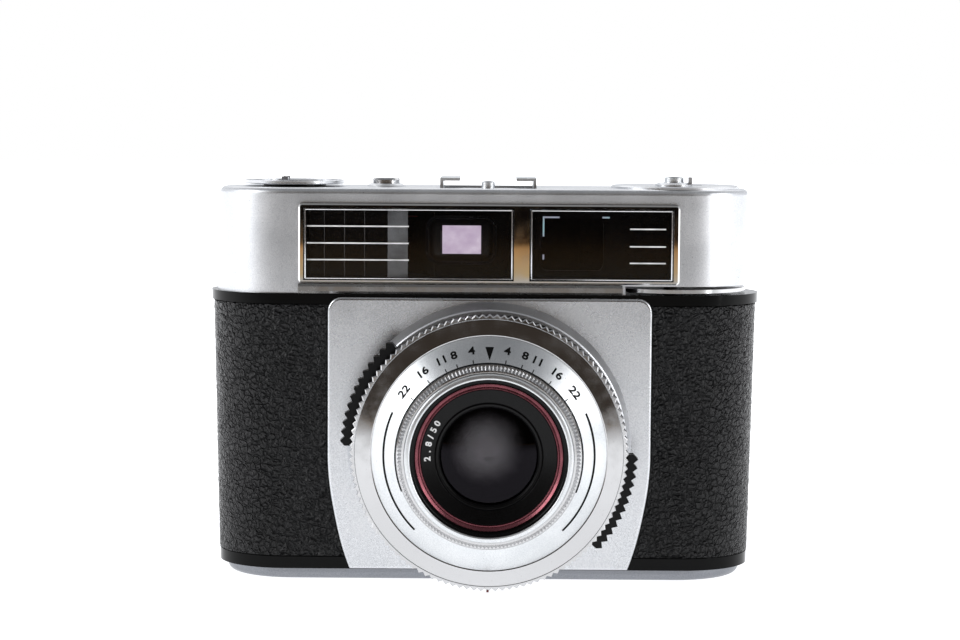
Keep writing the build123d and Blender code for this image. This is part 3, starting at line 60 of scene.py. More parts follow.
# ------------------------------------------------------------------ colour and node helpers
def linear(hex_colour: str, alpha: float = 1.0) -> tuple[float, float, float, float]:
    """Turns an sRGB hex colour to the linear values that shaders take.

    Args:
        hex_colour: six hex digits with a leading #.
        alpha: opacity that is passed through.

    Returns:
        Linear red, green, blue and alpha.
    """
    parts = [int(hex_colour[start:start + 2], 16) / 255 for start in (1, 3, 5)]
    low = [part / 12.92 if part <= 0.04045 else ((part + 0.055) / 1.055) ** 2.4 for part in parts]
    return low[0], low[1], low[2], alpha


def add_node(tree: bpy.types.NodeTree, kind: str, settings: dict | None = None,
             inputs: dict | None = None) -> bpy.types.Node:
    """Adds one shader node with its settings and links.

    Args:
        tree: the node tree that the node joins.
        kind: the node's bl_idname.
        settings: attribute values of the node; "stops" holds a ramp's places and hex colours.
        inputs: socket name or index to a value, to a node or output socket to link from, or to
            a hex colour.

    Returns:
        The new node.
    """
    node = tree.nodes.new(kind)
    for name, value in (settings or {}).items():
        if name != "stops":
            setattr(node, name, value)
            continue
        elements = node.color_ramp.elements
        while len(elements) < len(value):
            elements.new(0.5)
        for element, (position, hex_colour) in zip(elements, value):
            element.position = position
            element.color = linear(hex_colour)
    for name, value in (inputs or {}).items():
        if isinstance(value, bpy.types.Node):
            value = next(socket for socket in value.outputs if socket.enabled)
        if isinstance(value, bpy.types.NodeSocket):
            tree.links.new(value, node.inputs[name])
        else:
            node.inputs[name].default_value = linear(value) if isinstance(value, str) else value
    return node


# ------------------------------------------------------------------ finishes
@dataclass(frozen=True)
class Finish:
    """A surface finish that can build its own material.

    Attributes:
        name: the maker's words for the finish.
        colour: base colour, sRGB hex.
        metallic: 1 for bare metal, 0 for the rest.
        roughness: middle roughness.
        spread: how far the roughness wanders each way.
        grain_mm: width of the surface's grain.
        bump_mm: height of the grain.
        shine: strength of the reflection of what isn't metal, 0.5 as a rule.
    """

    name: str
    colour: str
    metallic: float = 0.0
    roughness: float = 0.4
    spread: float = 0.05
    grain_mm: float = 0.5
    bump_mm: float = 0.01
    shine: float = 0.5

    def start(self) -> tuple[bpy.types.Material, bpy.types.NodeTree, bpy.types.Node,
                             bpy.types.NodeSocket]:
        """Makes an empty material with its shader and object coordinates.

        Returns:
            The material, its tree, its shader and the coordinate socket.
        """
        material = bpy.data.materials.new(self.name)
        material.use_nodes = True
        tree = material.node_tree
        shader = tree.nodes["Principled BSDF"]
        shader.inputs["Base Color"].default_value = linear(self.colour)
        shader.inputs["Metallic"].default_value = self.metallic
        shader.inputs["Specular IOR Level"].default_value = self.shine
        place = add_node(tree, "ShaderNodeTexCoord").outputs["Object"]
        return material, tree, shader, place

    def roughen(self, tree: bpy.types.NodeTree, shader: bpy.types.Node,
                pattern: bpy.types.Node) -> None:
        """Drives the roughness from a pattern.

        Args:
            tree: the material's tree.
            shader: the material's shader.
            pattern: a node whose value runs from about 0.3 to 0.7.
        """
        ends = {"From Min": 0.3, "From Max": 0.7, "To Min": self.roughness - self.spread,
                "To Max": self.roughness + self.spread}
        level = add_node(tree, "ShaderNodeMapRange", inputs={"Value": pattern, **ends})
        tree.links.new(level.outputs["Result"], shader.inputs["Roughness"])

    def bump(self, tree: bpy.types.NodeTree, shader: bpy.types.Node,
             height: bpy.types.Node, strength: float = 1.0) -> None:
        """Adds the grain's relief.

        Args:
            tree: the material's tree.
            shader: the material's shader.
            height: the relief pattern.
            strength: how much of the relief shows.
        """
        relief = {"Strength": strength, "Distance": self.bump_mm * MM, "Height": height}
        node = add_node(tree, "ShaderNodeBump", inputs=relief)
        tree.links.new(node.outputs["Normal"], shader.inputs["Normal"])

    def build(self) -> bpy.types.Material:
        """Builds the plain form of the finish: even colour with fine grain.

        Returns:
            The material.
        """
        material, tree, shader, place = self.start()
        fine = add_node(tree, "ShaderNodeTexNoise",
                        inputs={"Vector": place, "Scale": 1 / (self.grain_mm * MM), "Detail": 3.0})
        mottled = add_node(tree, "ShaderNodeTexNoise",
                           inputs={"Vector": place, "Scale": 1 / (self.grain_mm * 14 * MM)})
        shade = add_node(tree, "ShaderNodeValToRGB",
                         {"stops": ((0.3, "#d2d2d2"), (0.7, "#ffffff"))}, {"Fac": mottled})
        tint = add_node(tree, "ShaderNodeMixRGB", {"blend_type": "MULTIPLY"},
                        {"Fac": 1.0, "Color1": self.colour, "Color2": shade})
        tree.links.new(tint.outputs["Color"], shader.inputs["Base Color"])
        self.roughen(tree, shader, fine)
        self.bump(tree, shader, fine, 0.6)
        return material


@dataclass(frozen=True)
class SatinChrome(Finish):
    """Chrome plate over bead-blasted brass: a soft sheen with a fine, even sparkle.

    Attributes:
        pit_mm: spacing of the dark pits that age leaves.
        pit_share: how much of that spacing a pit takes up.
    """

    pit_mm: float = 2.2
    pit_share: float = 0.05

    def build(self) -> bpy.types.Material:
        """Builds the plate: blasted grain, faint clouding and sparse dark pits.

        Returns:
            The material.
        """
        material, tree, shader, place = self.start()
        blast = add_node(tree, "ShaderNodeTexNoise",
                         inputs={"Vector": place, "Scale": 1 / (self.grain_mm * MM), "Detail": 2.0,
                                 "Roughness": 0.7})
        cloud = add_node(tree, "ShaderNodeTexNoise",
                         inputs={"Vector": place, "Scale": 1 / (9.0 * MM), "Detail": 3.0})
        pits = add_node(tree, "ShaderNodeTexVoronoi", {"feature": "F1"},
                        {"Vector": place, "Scale": 1 / (self.pit_mm * MM)})
        pit = add_node(tree, "ShaderNodeMapRange",
                       inputs={"Value": pits, "From Min": self.pit_share * 0.4,
                               "From Max": self.pit_share, "To Min": 1.0, "To Max": 0.0})
        flecks = add_node(tree, "ShaderNodeValToRGB",
                          {"stops": ((0.34, "#dcdddf"), (0.6, "#ffffff"))}, {"Fac": blast})
        clouded = add_node(tree, "ShaderNodeValToRGB",
                           {"stops": ((0.3, "#f1f2f3"), (0.7, "#ffffff"))}, {"Fac": cloud})
        plate = add_node(tree, "ShaderNodeMixRGB", {"blend_type": "MULTIPLY"},
                         {"Fac": 1.0, "Color1": flecks, "Color2": clouded})
        plate = add_node(tree, "ShaderNodeMixRGB", {"blend_type": "MULTIPLY"},
                         {"Fac": 1.0, "Color1": plate, "Color2": self.colour})
        aged = add_node(tree, "ShaderNodeMixRGB",
                        inputs={"Fac": pit, "Color1": plate, "Color2": "#6d6a66"})
        tree.links.new(aged.outputs["Color"], shader.inputs["Base Color"])
        self.roughen(tree, shader, cloud)
        self.bump(tree, shader, blast, 0.4)
        return material


@dataclass(frozen=True)
class PolishedChrome(Finish):
    """Bright chrome plate: near-mirror, with hazy patches and hairline wear."""

    def build(self) -> bpy.types.Material:
        """Builds the plate: a mirror with drifting haze and fine pits.

        Returns:
            The material.
        """
        material, tree, shader, place = self.start()
        haze = add_node(tree, "ShaderNodeTexNoise",
                        inputs={"Vector": place, "Scale": 1 / (4.0 * MM), "Detail": 4.0})
        pits = add_node(tree, "ShaderNodeTexVoronoi", {"feature": "F1"},
                        {"Vector": place, "Scale": 1 / (1.1 * MM)})
        pit = add_node(tree, "ShaderNodeMapRange",
                       inputs={"Value": pits, "From Min": 0.03, "From Max": 0.07, "To Min": 1.0,
                               "To Max": 0.0})
        aged = add_node(tree, "ShaderNodeMixRGB",
                        inputs={"Fac": pit, "Color1": self.colour, "Color2": "#857e77"})
        tree.links.new(aged.outputs["Color"], shader.inputs["Base Color"])
        self.roughen(tree, shader, haze)
        return material


@dataclass(frozen=True)
class Leatherette(Finish):
    """Embossed black leather cloth: shiny ridges between deep, wandering creases.

    Attributes:
        pebble_mm: width of the small pebbles between the creases.
    """

    pebble_mm: float = 0.55

    def build(self) -> bpy.types.Material:
        """Builds the cloth: pebbles and pores, a little lighter where it is rubbed.

        Returns:
            The material.
        """
        material, tree, shader, place = self.start()
        drift = add_node(tree, "ShaderNodeTexNoise",
                         inputs={"Vector": place, "Scale": 1 / (2.4 * MM), "Detail": 2.0})
        bent = add_node(tree, "ShaderNodeVectorMath", {"operation": "MULTIPLY_ADD"},
                        {0: drift.outputs["Color"], 1: (2.2 * MM, 2.2 * MM, 1.1 * MM), 2: place})
        cracks = add_node(tree, "ShaderNodeTexVoronoi", {"feature": "DISTANCE_TO_EDGE"},
                          {"Vector": bent, "Scale": 1 / (1.5 * MM)})
        crack = add_node(tree, "ShaderNodeMapRange",
                         inputs={"Value": cracks, "From Min": 0.0, "From Max": 0.14})
        pebbles = add_node(tree, "ShaderNodeTexVoronoi", {"feature": "SMOOTH_F1"},
                           {"Vector": bent, "Scale": 1 / (self.pebble_mm * MM), "Smoothness": 0.4})
        pores = add_node(tree, "ShaderNodeTexNoise",
                         inputs={"Vector": place, "Scale": 1 / (0.22 * MM), "Detail": 3.0})
        height = add_node(tree, "ShaderNodeMath", {"operation": "MULTIPLY_ADD"},
                          {0: pebbles, 1: -0.7, 2: crack})
        height = add_node(tree, "ShaderNodeMath", {"operation": "MULTIPLY_ADD"},
                          {0: pores, 1: 0.25, 2: height})
        wear = add_node(tree, "ShaderNodeTexNoise",
                        inputs={"Vector": place, "Scale": 1 / (9.0 * MM), "Detail": 3.0})
        shade = add_node(tree, "ShaderNodeValToRGB",
                         {"stops": ((0.35, self.colour), (0.75, "#0c0c0e"))}, {"Fac": wear})
        tree.links.new(shade.outputs["Color"], shader.inputs["Base Color"])
        self.roughen(tree, shader, pores)
        self.bump(tree, shader, height, 1.0)
        return material


@dataclass(frozen=True)
class LensGlass(Finish):
    """Ground and coated optical glass: clear, with a violet bloom on its surface.

    Attributes:
        bloom: colour of the coating's reflection.
        veil: how much of the painted reflection shows, as the share of light that doesn't pass
            through.
        shift_mm: how far the painted reflection lies right of the lens axis and above it.
        reach_mm: radii where the painted reflection starts to fade and where it is gone.
    """

    bloom: str = "#6f6b74"
    veil: float = 0.16
    shift_mm: tuple[float, float] = (0.9, 3.2)
    reach_mm: tuple[float, float] = (1.5, 8.5)

    def build(self) -> bpy.types.Material:
        """Builds the glass with a tinted coat and a painted grey reflection, pale in a soft disc
        and near black around it.

        Returns:
            The material.
        """
        material, tree, shader, place = self.start()
        shader.inputs["Transmission Weight"].default_value = 1 - self.veil
        shader.inputs["IOR"].default_value = 1.62
        shader.inputs["Specular Tint"].default_value = linear(self.bloom)
        low, high = box_mm("front_element")
        middle = (low + high) / 2 * MM
        smear = add_node(tree, "ShaderNodeTexNoise",
                         inputs={"Vector": place, "Scale": 1 / (3.5 * MM), "Detail": 5.0,
                                 "Roughness": 0.7})
        drift = add_node(tree, "ShaderNodeVectorMath", {"operation": "MULTIPLY_ADD"},
                         {0: smear.outputs["Color"], 1: (3 * MM, 0, 3 * MM),
                          2: add_node(tree, "ShaderNodeVectorMath", {"operation": "MULTIPLY"},
                                      {0: place, 1: (1, 0, 1)})})
        right, up = (share * MM for share in self.shift_mm)
        reach = add_node(tree, "ShaderNodeVectorMath", {"operation": "DISTANCE"},
                         {0: drift, 1: (middle.x + right, 0, middle.z + up)})
        # The haze mask here is a painted reflection: the base colour is pale in a soft disc right
        # of and above the lens axis, and near black outside it.
        haze = add_node(tree, "ShaderNodeMapRange", {"interpolation_type": "SMOOTHSTEP"},
                        {"Value": reach.outputs["Value"], "From Min": self.reach_mm[0] * MM,
                         "From Max": self.reach_mm[1] * MM, "To Min": 1.0, "To Max": 0.0})
        painted_reflection_colour = add_node(tree, "ShaderNodeMixRGB",
                          inputs={"Fac": haze, "Color1": "#070607", "Color2": self.colour})
        tree.links.new(painted_reflection_colour.outputs["Color"], shader.inputs["Base Color"])
        self.roughen(tree, shader, smear)
        return material


@dataclass(frozen=True)
class WindowPane(Finish):
    """Smoked flat pane over the finder and the meter: dark, with a sharp gloss and dust.

    Attributes:
        solidity: how much of what lies behind it hides.
    """

    solidity: float = 0.35

    def build(self) -> bpy.types.Material:
        """Builds the pane: mostly see-through black with dust and a clear gloss.

        Returns:
            The material.
        """
        material, tree, shader, place = self.start()
        dust = add_node(tree, "ShaderNodeTexNoise",
                        inputs={"Vector": place, "Scale": 1 / (0.35 * MM), "Detail": 6.0,
                                "Roughness": 0.8})
        specks = add_node(tree, "ShaderNodeMapRange",
                          inputs={"Value": dust, "From Min": 0.69, "From Max": 0.74})
        shade = add_node(tree, "ShaderNodeMixRGB",
                         inputs={"Fac": specks, "Color1": self.colour, "Color2": "#8c8a88"})
        solid = add_node(tree, "ShaderNodeMapRange",
                         inputs={"Value": specks, "To Min": self.solidity, "To Max": 0.8})
        tree.links.new(shade.outputs["Color"], shader.inputs["Base Color"])
        tree.links.new(solid.outputs["Result"], shader.inputs["Alpha"])
        shader.inputs["IOR"].default_value = 1.52
        self.roughen(tree, shader, dust)
        return material


@dataclass(frozen=True)
class LitPane(Finish):
    """Coated finder glass whose daylight from behind is painted on as a soft emitted glow.

    Attributes:
        glow: strength of the painted glow that stands in for the daylight.
        shade: its darker colour.
    """

    glow: float = 0.8
    shade: str = "#c9b4cf"

    def build(self) -> bpy.types.Material:
        """Builds the glowing pane, a little uneven across its width.

        Returns:
            The material.
        """
        material, tree, shader, place = self.start()
        cloud = add_node(tree, "ShaderNodeTexNoise",
                         inputs={"Vector": place, "Scale": 1 / (3.0 * MM)})
        shade = add_node(tree, "ShaderNodeValToRGB",
                         {"stops": ((0.3, self.shade), (0.7, self.colour))}, {"Fac": cloud})
        tree.links.new(shade.outputs["Color"], shader.inputs["Emission Color"])
        tree.links.new(shade.outputs["Color"], shader.inputs["Base Color"])
        # Painted glow: the emission stands in for daylight behind the glass.
        shader.inputs["Emission Strength"].default_value = self.glow
        self.roughen(tree, shader, cloud)
        return material


class Look(Enum):
    """Every finish on the camera.

    Blasting grit is about 0.05 mm and is drawn two to four times as coarse, so that it shows.
    """

    # Chrome plate on bead-blasted brass: an even grey-white sheen with no sharp reflection.
    SATIN_CHROME = SatinChrome("satin_chrome_plate", "#e6e7e9", 1.0, 0.27, 0.03, 0.16, 0.008)
    # The same plate on the drawn cover, blasted coarser: flatter, with long soft shading.
    COVER_CHROME = SatinChrome("satin_chrome_cover", "#f0f1f3", 1.0, 0.38, 0.03, 0.16, 0.008)
    # Finely blasted plate for scales: pale and matt enough that black figures read on it.
    FACE_CHROME = SatinChrome("fine_satin_scale_plate", "#f0f2f3", 1.0, 0.34, 0.03, 0.16, 0.006)
    # Buffed chrome on turned rings: sharp dark and bright bands, hazed by handling.
    BRIGHT_CHROME = PolishedChrome("polished_chrome_plate", "#c8c8c9", 1.0, 0.15, 0.09, 0.8, 0.001)
    # Embossed cloth under lacquer: near-black creases with small glints on their ridges.
    LEATHERETTE = Leatherette("creased_black_leatherette", "#030304", 0.0, 0.22, 0.06, 0.4, 0.45,
                              0.3)
    # Stoved enamel on the die casting: deep black with a soft gloss along the edges.
    BLACK_ENAMEL = Finish("black_stove_enamel", "#030303", 0.0, 0.10, 0.05, 0.9, 0.004, 0.12)
    # Dyed anodised aluminium, finely turned: a cool black with a dull metallic gleam.
    BLACK_ANODISED = Finish("black_anodised_aluminium", "#0a0a0b", 0.3, 0.30, 0.06, 0.12, 0.003,
                            0.25)
    # Moulded phenolic with a light texture: black with a broad, weak shine.
    BLACK_PLASTIC = Finish("black_moulded_plastic", "#050506", 0.0, 0.32, 0.08, 0.3, 0.006, 0.18)
    # Red-dyed anodised aluminium: dark wine colour that flashes pink towards the light.
    RED_ANODISED = Finish("dark_red_anodised_aluminium", "#8a5058", 0.9, 0.28, 0.06, 0.2, 0.002)
    # Bare turned steel: mid-grey with a fine, dull lustre.
    TURNED_STEEL = Finish("turned_steel", "#9c9c9e", 1.0, 0.30, 0.06, 0.15, 0.003)
    # Steel blued by tempering: dark, with a blue-grey tone.
    SPRING_STEEL = Finish("blued_spring_steel", "#4a505c", 1.0, 0.28, 0.06, 0.3, 0.003)
    # Chemically blackened blades, rubbed by use: matt and nearly black.
    BLADE_STEEL = Finish("blackened_blade_steel", "#1a1a1c", 0.3, 0.45, 0.05, 0.5, 0.0005, 0.2)
    # Selenium cell behind a ribbed screen: dark brown with a faint gloss.
    METER_CELL = Finish("dark_ribbed_meter_cell", "#15110f", 0.0, 0.22, 0.06, 0.9, 0.001)
    # Drawn aluminium as it leaves the press: pale and softly dull.
    CAN_ALUMINIUM = Finish("drawn_aluminium_can", "#b9babd", 1.0, 0.38, 0.06, 0.25, 0.004)
    # Brushed needle paint: an even, dry red.
    RED_PAINT = Finish("red_needle_paint", "#a3251d", 0.0, 0.4, 0.05, 0.2, 0.003)
    # Stoved white enamel: warm white with a low gloss.
    WHITE_ENAMEL = Finish("white_dial_enamel", "#e8e6df", 0.0, 0.35, 0.05, 0.3, 0.003)
    # Glass silvered on its front: a clean mirror with no double image.
    SILVERING = PolishedChrome("front_silvered_glass", "#d8d9dc", 1.0, 0.04, 0.02, 0.8, 0.0005)
    # Paint wiped into engraving: flat black with no gloss, so figures stay crisp; it also draws a
    # painted shadow line on the scale.
    INK_BLACK = Finish("black_engraving_paint", "#0a0a0a", 0.0, 0.5, 0.06, 0.2, 0.001, 0.1)
    # Printed line paint: plain white that stands out on dark glass.
    INK_WHITE = Finish("white_line_paint", "#ffffff", 0.0, 0.45, 0.05, 0.2, 0.001)
    # Index paint: a small, dull, brick-red spot.
    INK_RED = Finish("red_index_paint", "#6d1c1c", 0.0, 0.45, 0.05, 0.2, 0.003)
    # Ground glass strip: milky white with no reflection of its own.
    FROSTED = Finish("frosted_glass_strip", "#e4e6ea", 0.0, 0.5, 0.05, 0.2, 0.001)
    # Moulded ribs over the cell: thin mid-grey lines.
    RIB_GREY = Finish("moulded_cell_ribs", "#8d8b8c", 0.0, 0.35, 0.05, 0.2, 0.001)
    # Semi-gloss paint on the funnel: its slopes catch a dark grey light.
    FINDER_BLACK = Finish("semi_gloss_black_funnel", "#2c2c2e", 0.0, 0.22, 0.06, 0.8, 0.01)
    # Reflecting frame-line coating: pale cyan lines with a painted glow, as if lit.
    CYAN_GLOW = LitPane("cyan_frame_line_painted_glow", "#b4ecf2", 0.0, 0.3, glow=0.95)
    # Drawn edge polished by rubbing: almost white, a bright outline round the glass.
    LIP_CHROME = SatinChrome("bright_drawn_lip", "#fbfbfc", 1.0, 0.22, 0.04, 0.2, 0.002)
    # Polished chrome trim, its colour darkened all over as painted shade for its upward-tilted
    # face; hazy patches swing it from bright to nearly black.
    TRIM_CHROME = PolishedChrome("chrome_trim_painted_shade", "#9a9896", 1.0, 0.2, 0.16)
    # Blasted steel base: a cooler, darker grey than the cover.
    BASE_STEEL = SatinChrome("satin_steel_base", "#96989d", 1.0, 0.32, 0.05, 0.2, 0.006)
    # Mirror-polished bezel: it shows the room, from white to warm brown.
    MIRROR_CHROME = PolishedChrome("mirror_chrome_bezel", "#e4e3e1", 1.0, 0.035, 0.02)
    # Coated glass: nearly black, with a painted grey reflection as a soft disc and a violet gleam.
    LENS_GLASS = LensGlass("coated_lens_glass", "#b9b6ba", 0.0, 0.03, 0.03)
    # Smoked flat glass: dark and sharply glossy, with specks of dust.
    PANE = WindowPane("smoked_window_pane", "#060505", 0.0, 0.06, 0.04)
    # Coated glass with daylight behind it, painted on as an even lilac glow.
    FINDER_GLOW = LitPane("lilac_finder_painted_glow", "#e6d6ea", 0.0, 0.25, glow=1.45)


class Finishes:
    """Builds each finish once and hands it out."""

    def __init__(self) -> None:
        """Starts with nothing built."""
        self.made: dict[Look, bpy.types.Material] = {}

    def get(self, look: Look) -> bpy.types.Material:
        """Gives the material of a look, building it the first time.

        Args:
            look: which finish.

        Returns:
            Its material.
        """
        if look not in self.made:
            self.made[look] = look.value.build()
        return self.made[look]


FINISHES = Finishes()


def dress(piece: bpy.types.Object, look: Look) -> None:
    """Gives a piece one finish all over."""
    piece.data.materials.clear()
    piece.data.materials.append(FINISHES.get(look))


# ------------------------------------------------------------------ modelling helpers
def select_none() -> None:
    """Deselects every object."""
    bpy.ops.object.select_all(action="DESELECT")


def pick(piece: bpy.types.Object) -> None:
    """Selects one object and makes it the active one.

    Args:
        piece: the object.
    """
    select_none()
    piece.select_set(True)
    bpy.context.view_layer.objects.active = piece


def edit(piece: bpy.types.Object, choose: Callable[[Vector], bool] | None = None,
         mode: str = "VERT") -> None:
    """Opens a piece in edit mode with the chosen vertices selected.

    Args:
        piece: the piece to edit.
        choose: a test of a vertex's place, or None for all.
        mode: the kind of element that operators then act on.
    """
    pick(piece)
    for vertex in piece.data.vertices:
        vertex.select = choose is None or choose(vertex.co)
    keep = choose is not None
    for edge in piece.data.edges:
        edge.select = all(piece.data.vertices[index].select for index in edge.vertices) or not keep
    for face in piece.data.polygons:
        face.select = all(piece.data.vertices[index].select for index in face.vertices) or not keep
    bpy.ops.object.mode_set(mode="EDIT")
    bpy.ops.mesh.select_mode(type=mode)


def done() -> None:
    """Leaves edit mode."""
    bpy.ops.object.mode_set(mode="OBJECT")


def finish_mesh(piece: bpy.types.Object, name: str, angle: float = 32.0) -> bpy.types.Object:
    """Merges doubles, points faces outwards, shades, names and settles a piece.

    Args:
        piece: the piece.
        name: its final name.
        angle: edges sharper than this stay sharp, in degrees.

    Returns:
        The same piece.
    """
    edit(piece)
    bpy.ops.mesh.remove_doubles(threshold=MERGE)
    bpy.ops.mesh.normals_make_consistent(inside=False)
    done()
    bpy.ops.object.transform_apply(location=True, rotation=True, scale=True)
    bpy.ops.object.shade_smooth_by_angle(angle=math.radians(angle))
    piece.name = name
    piece.data.name = name
    return piece


def apply_modifier(piece: bpy.types.Object, kind: str, settings: dict) -> None:
    """Adds a modifier with its settings and applies it.

    Args:
        piece: the piece.
        kind: the modifier's type.
        settings: its attribute values.
    """
    pick(piece)
    modifier = piece.modifiers.new(kind.lower(), kind)
    for name, value in settings.items():
        setattr(modifier, name, value)
    bpy.ops.object.modifier_apply(modifier=modifier.name)


def round_edges(piece: bpy.types.Object, width_mm: float, segments: int = 3,
                angle: float = 30.0) -> None:
    """Rounds a piece's sharp edges.

    Args:
        piece: the piece.
        width_mm: how far the rounding reaches.
        segments: faces across it.
        angle: edges sharper than this are rounded, in degrees.
    """
    settings = {"width": width_mm * MM, "segments": segments, "limit_method": "ANGLE",
                "angle_limit": math.radians(angle), "harden_normals": False}
    apply_modifier(piece, "BEVEL", settings)


def wire(start: Vector, steps: Iterable[Vector]) -> bpy.types.Object:
    """Draws an open line of edges from a start point by extruding one vertex.

    Args:
        start: the first point, in metres.
        steps: the move to each further point.

    Returns:
        The line as an object that is still in edit mode, all selected.
    """
    select_none()
    bpy.ops.mesh.primitive_plane_add(size=MM, location=(0, 0, 0))
    piece = bpy.context.active_object
    bpy.ops.object.mode_set(mode="EDIT")
    bpy.ops.mesh.select_all(action="SELECT")
    bpy.ops.mesh.merge(type="CENTER")
    bpy.ops.transform.translate(value=start)
    for step in steps:
        bpy.ops.mesh.extrude_region_move(TRANSFORM_OT_translate={"value": step})
    bpy.ops.mesh.select_all(action="SELECT")
    return piece


def turned(name: str, profile: Profile, centre: Vector, axis: Vector, steps: int = 180,
           edge_mm: float = 0.0, start: float = 0.0, sweep: float = math.tau) -> bpy.types.Object:
    """Turns a closed profile about an axis, as on a lathe.

    Args:
        name: the piece's name.
        profile: (radius, distance along the axis) points in millimetres, round the section.
        centre: a point on the axis, in metres.
        axis: the axis, a unit vector along Y or Z.
        steps: faces round the turn.
        edge_mm: radius that sharp edges are rounded to.
        start: angle that the turn starts at, from up for a level axis, from +X for an upright one.
        sweep: angle that it goes round; less than a full turn leaves an arc with closed ends.

    Returns:
        The turned piece.
    """
    level = abs(axis.y) > 0.5
    across = Vector((math.sin(start), 0, math.cos(start)) if level
                    else (math.cos(start), math.sin(start), 0))
    points = [centre + across * radius * MM + axis * along * MM for radius, along in profile]
    whole = sweep > math.tau - 0.001
    if profile[0][0] > 0:
        points.append(points[0])
    moves = [after - before for before, after in zip(points, points[1:])]
    piece = wire(points[0], moves)
    bpy.ops.mesh.remove_doubles(threshold=MERGE)
    bpy.ops.mesh.select_all(action="SELECT")
    if not whole:
        bpy.ops.mesh.edge_face_add()
    bpy.ops.mesh.spin(steps=steps, angle=-sweep if level else sweep, center=centre, axis=axis)
    done()
    finish_mesh(piece, name)
    if edge_mm:
        round_edges(piece, edge_mm)
        bpy.ops.object.shade_smooth_by_angle(angle=math.radians(32))
    return piece


def knurl(piece: bpy.types.Object, centre: Vector, axis: int, columns: int, inside_mm: float,
          span_mm: tuple[float, float], depth_mm: float) -> None:
    """Cuts V teeth by drawing every other column of a turned rim towards the axis.

    Args:
        piece: the turned piece.
        centre: a point on the axis, in metres.
        axis: 1 for a Y axis, 2 for a Z axis.
        columns: columns of vertices round the turn, twice the teeth.
        inside_mm: only vertices beyond this radius move.
        span_mm: low and high place along the axis of what moves.
        depth_mm: depth of the teeth.
    """
    def chosen(place: Vector) -> bool:
        """Says whether a vertex lies at the root of a tooth.

        Args:
            place: the vertex's place.

        Returns:
            True at a root.
        """
        arm = place - centre
        first, second = (arm.x, arm.z) if axis == 1 else (arm.y, arm.x)
        column = round(math.atan2(first, second) / math.tau * columns)
        along = place[axis] / MM
        return (math.hypot(first, second) / MM > inside_mm and span_mm[0] < along < span_mm[1]
                and column % 2 == 1)

    edit(piece, chosen)
    shrink = 1 - depth_mm / (inside_mm + 0.3)
    value = (shrink, 1, shrink) if axis == 1 else (shrink, shrink, 1)
    bpy.ops.transform.resize(value=value, center_override=centre)
    done()
    bpy.ops.object.shade_smooth_by_angle(angle=math.radians(25))


def settle(piece: bpy.types.Object, place: Matrix) -> None:
    """Puts a piece that was made at the origin into its place, in its mesh.

    Args:
        piece: the piece.
        place: where it goes.
    """
    pick(piece)
    piece.matrix_world = place
    bpy.ops.object.transform_apply(location=True, rotation=True, scale=True)


def join(name: str, parts: Sequence[bpy.types.Object]) -> bpy.types.Object:
    """Joins pieces into one object.

    Args:
        name: the joined piece's name.
        parts: the pieces, at least one.

    Returns:
        The joined piece.
    """
    select_none()
    for part in parts:
        part.select_set(True)
    bpy.context.view_layer.objects.active = parts[0]
    bpy.ops.object.join()
    parts[0].name = name
    parts[0].data.name = name
    return parts[0]


def raised_text(name: str, words: str, height_mm: float, lift_mm: float) -> bpy.types.Object:
    """Makes figures as a thin mesh at the origin, facing +Z.

    Args:
        name: the piece's name.
        words: the figures.
        height_mm: height of a figure.
        lift_mm: half of their thickness.

    Returns:
        The figures.
    """
    select_none()
    bpy.ops.object.text_add(location=(0, 0, 0))
    piece = bpy.context.active_object
    piece.data.body = words
    piece.data.size = height_mm * MM / CAP_SHARE
    piece.data.align_x = "CENTER"
    piece.data.align_y = "CENTER"
    piece.data.extrude = lift_mm * MM
    piece.data.offset = BOLDER_MM * MM
    piece.data.resolution_u = 4
    bpy.ops.object.convert(target="MESH")
    piece = bpy.context.active_object
    piece.name = name
    piece.data.name = name
    return piece


def block(centre: Vector, size: Vector) -> bpy.types.Object:
    """Adds a plain block that is then shaped further.

    Args:
        centre: its middle in millimetres.
        size: its sides in millimetres.

    Returns:
        The block, active and selected.
    """
    select_none()
    bpy.ops.mesh.primitive_cube_add(size=1, location=centre * MM)
    piece = bpy.context.active_object
    piece.scale = size * MM
    bpy.ops.object.transform_apply(location=True, rotation=True, scale=True)
    return piece


def bar(name: str, low: Vector, high: Vector, edge_mm: float) -> bpy.types.Object:
    """Makes a rectangular bar with rounded edges between two corners.

    Args:
        name: the piece's name.
        low: lowest corner in millimetres.
        high: highest corner in millimetres.
        edge_mm: radius of its edges.

    Returns:
        The bar.
    """
    piece = block((low + high) / 2, high - low)
    if edge_mm:
        round_edges(piece, edge_mm, 2)
    return finish_mesh(piece, name)


def box_mm(node: str) -> tuple[Vector, Vector]:
    """A CAD node's lowest and highest corners, in millimetres."""
    low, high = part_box(node)
    return low / MM, high / MM


def depth_mm(node: str) -> tuple[float, float]:
    """The y of a CAD node's front and back, in millimetres."""
    low, high = box_mm(node)
    return low.y, high.y


def fit(piece: bpy.types.Object, body: str, slot: str, look: Look, *nodes: str) -> None:
    """Dresses a piece, rides it on its body and hides the CAD nodes that it stands for.

    Args:
        piece: the finished piece.
        body: the CAD body that it rides on.
        slot: not used.
        look: its finish.
        nodes: CAD nodes that it replaces.
    """
    dress(piece, look)
    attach(piece, body)
    if nodes:
        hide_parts(*nodes)
    LOG.info("made %s on %s", piece.name, body)


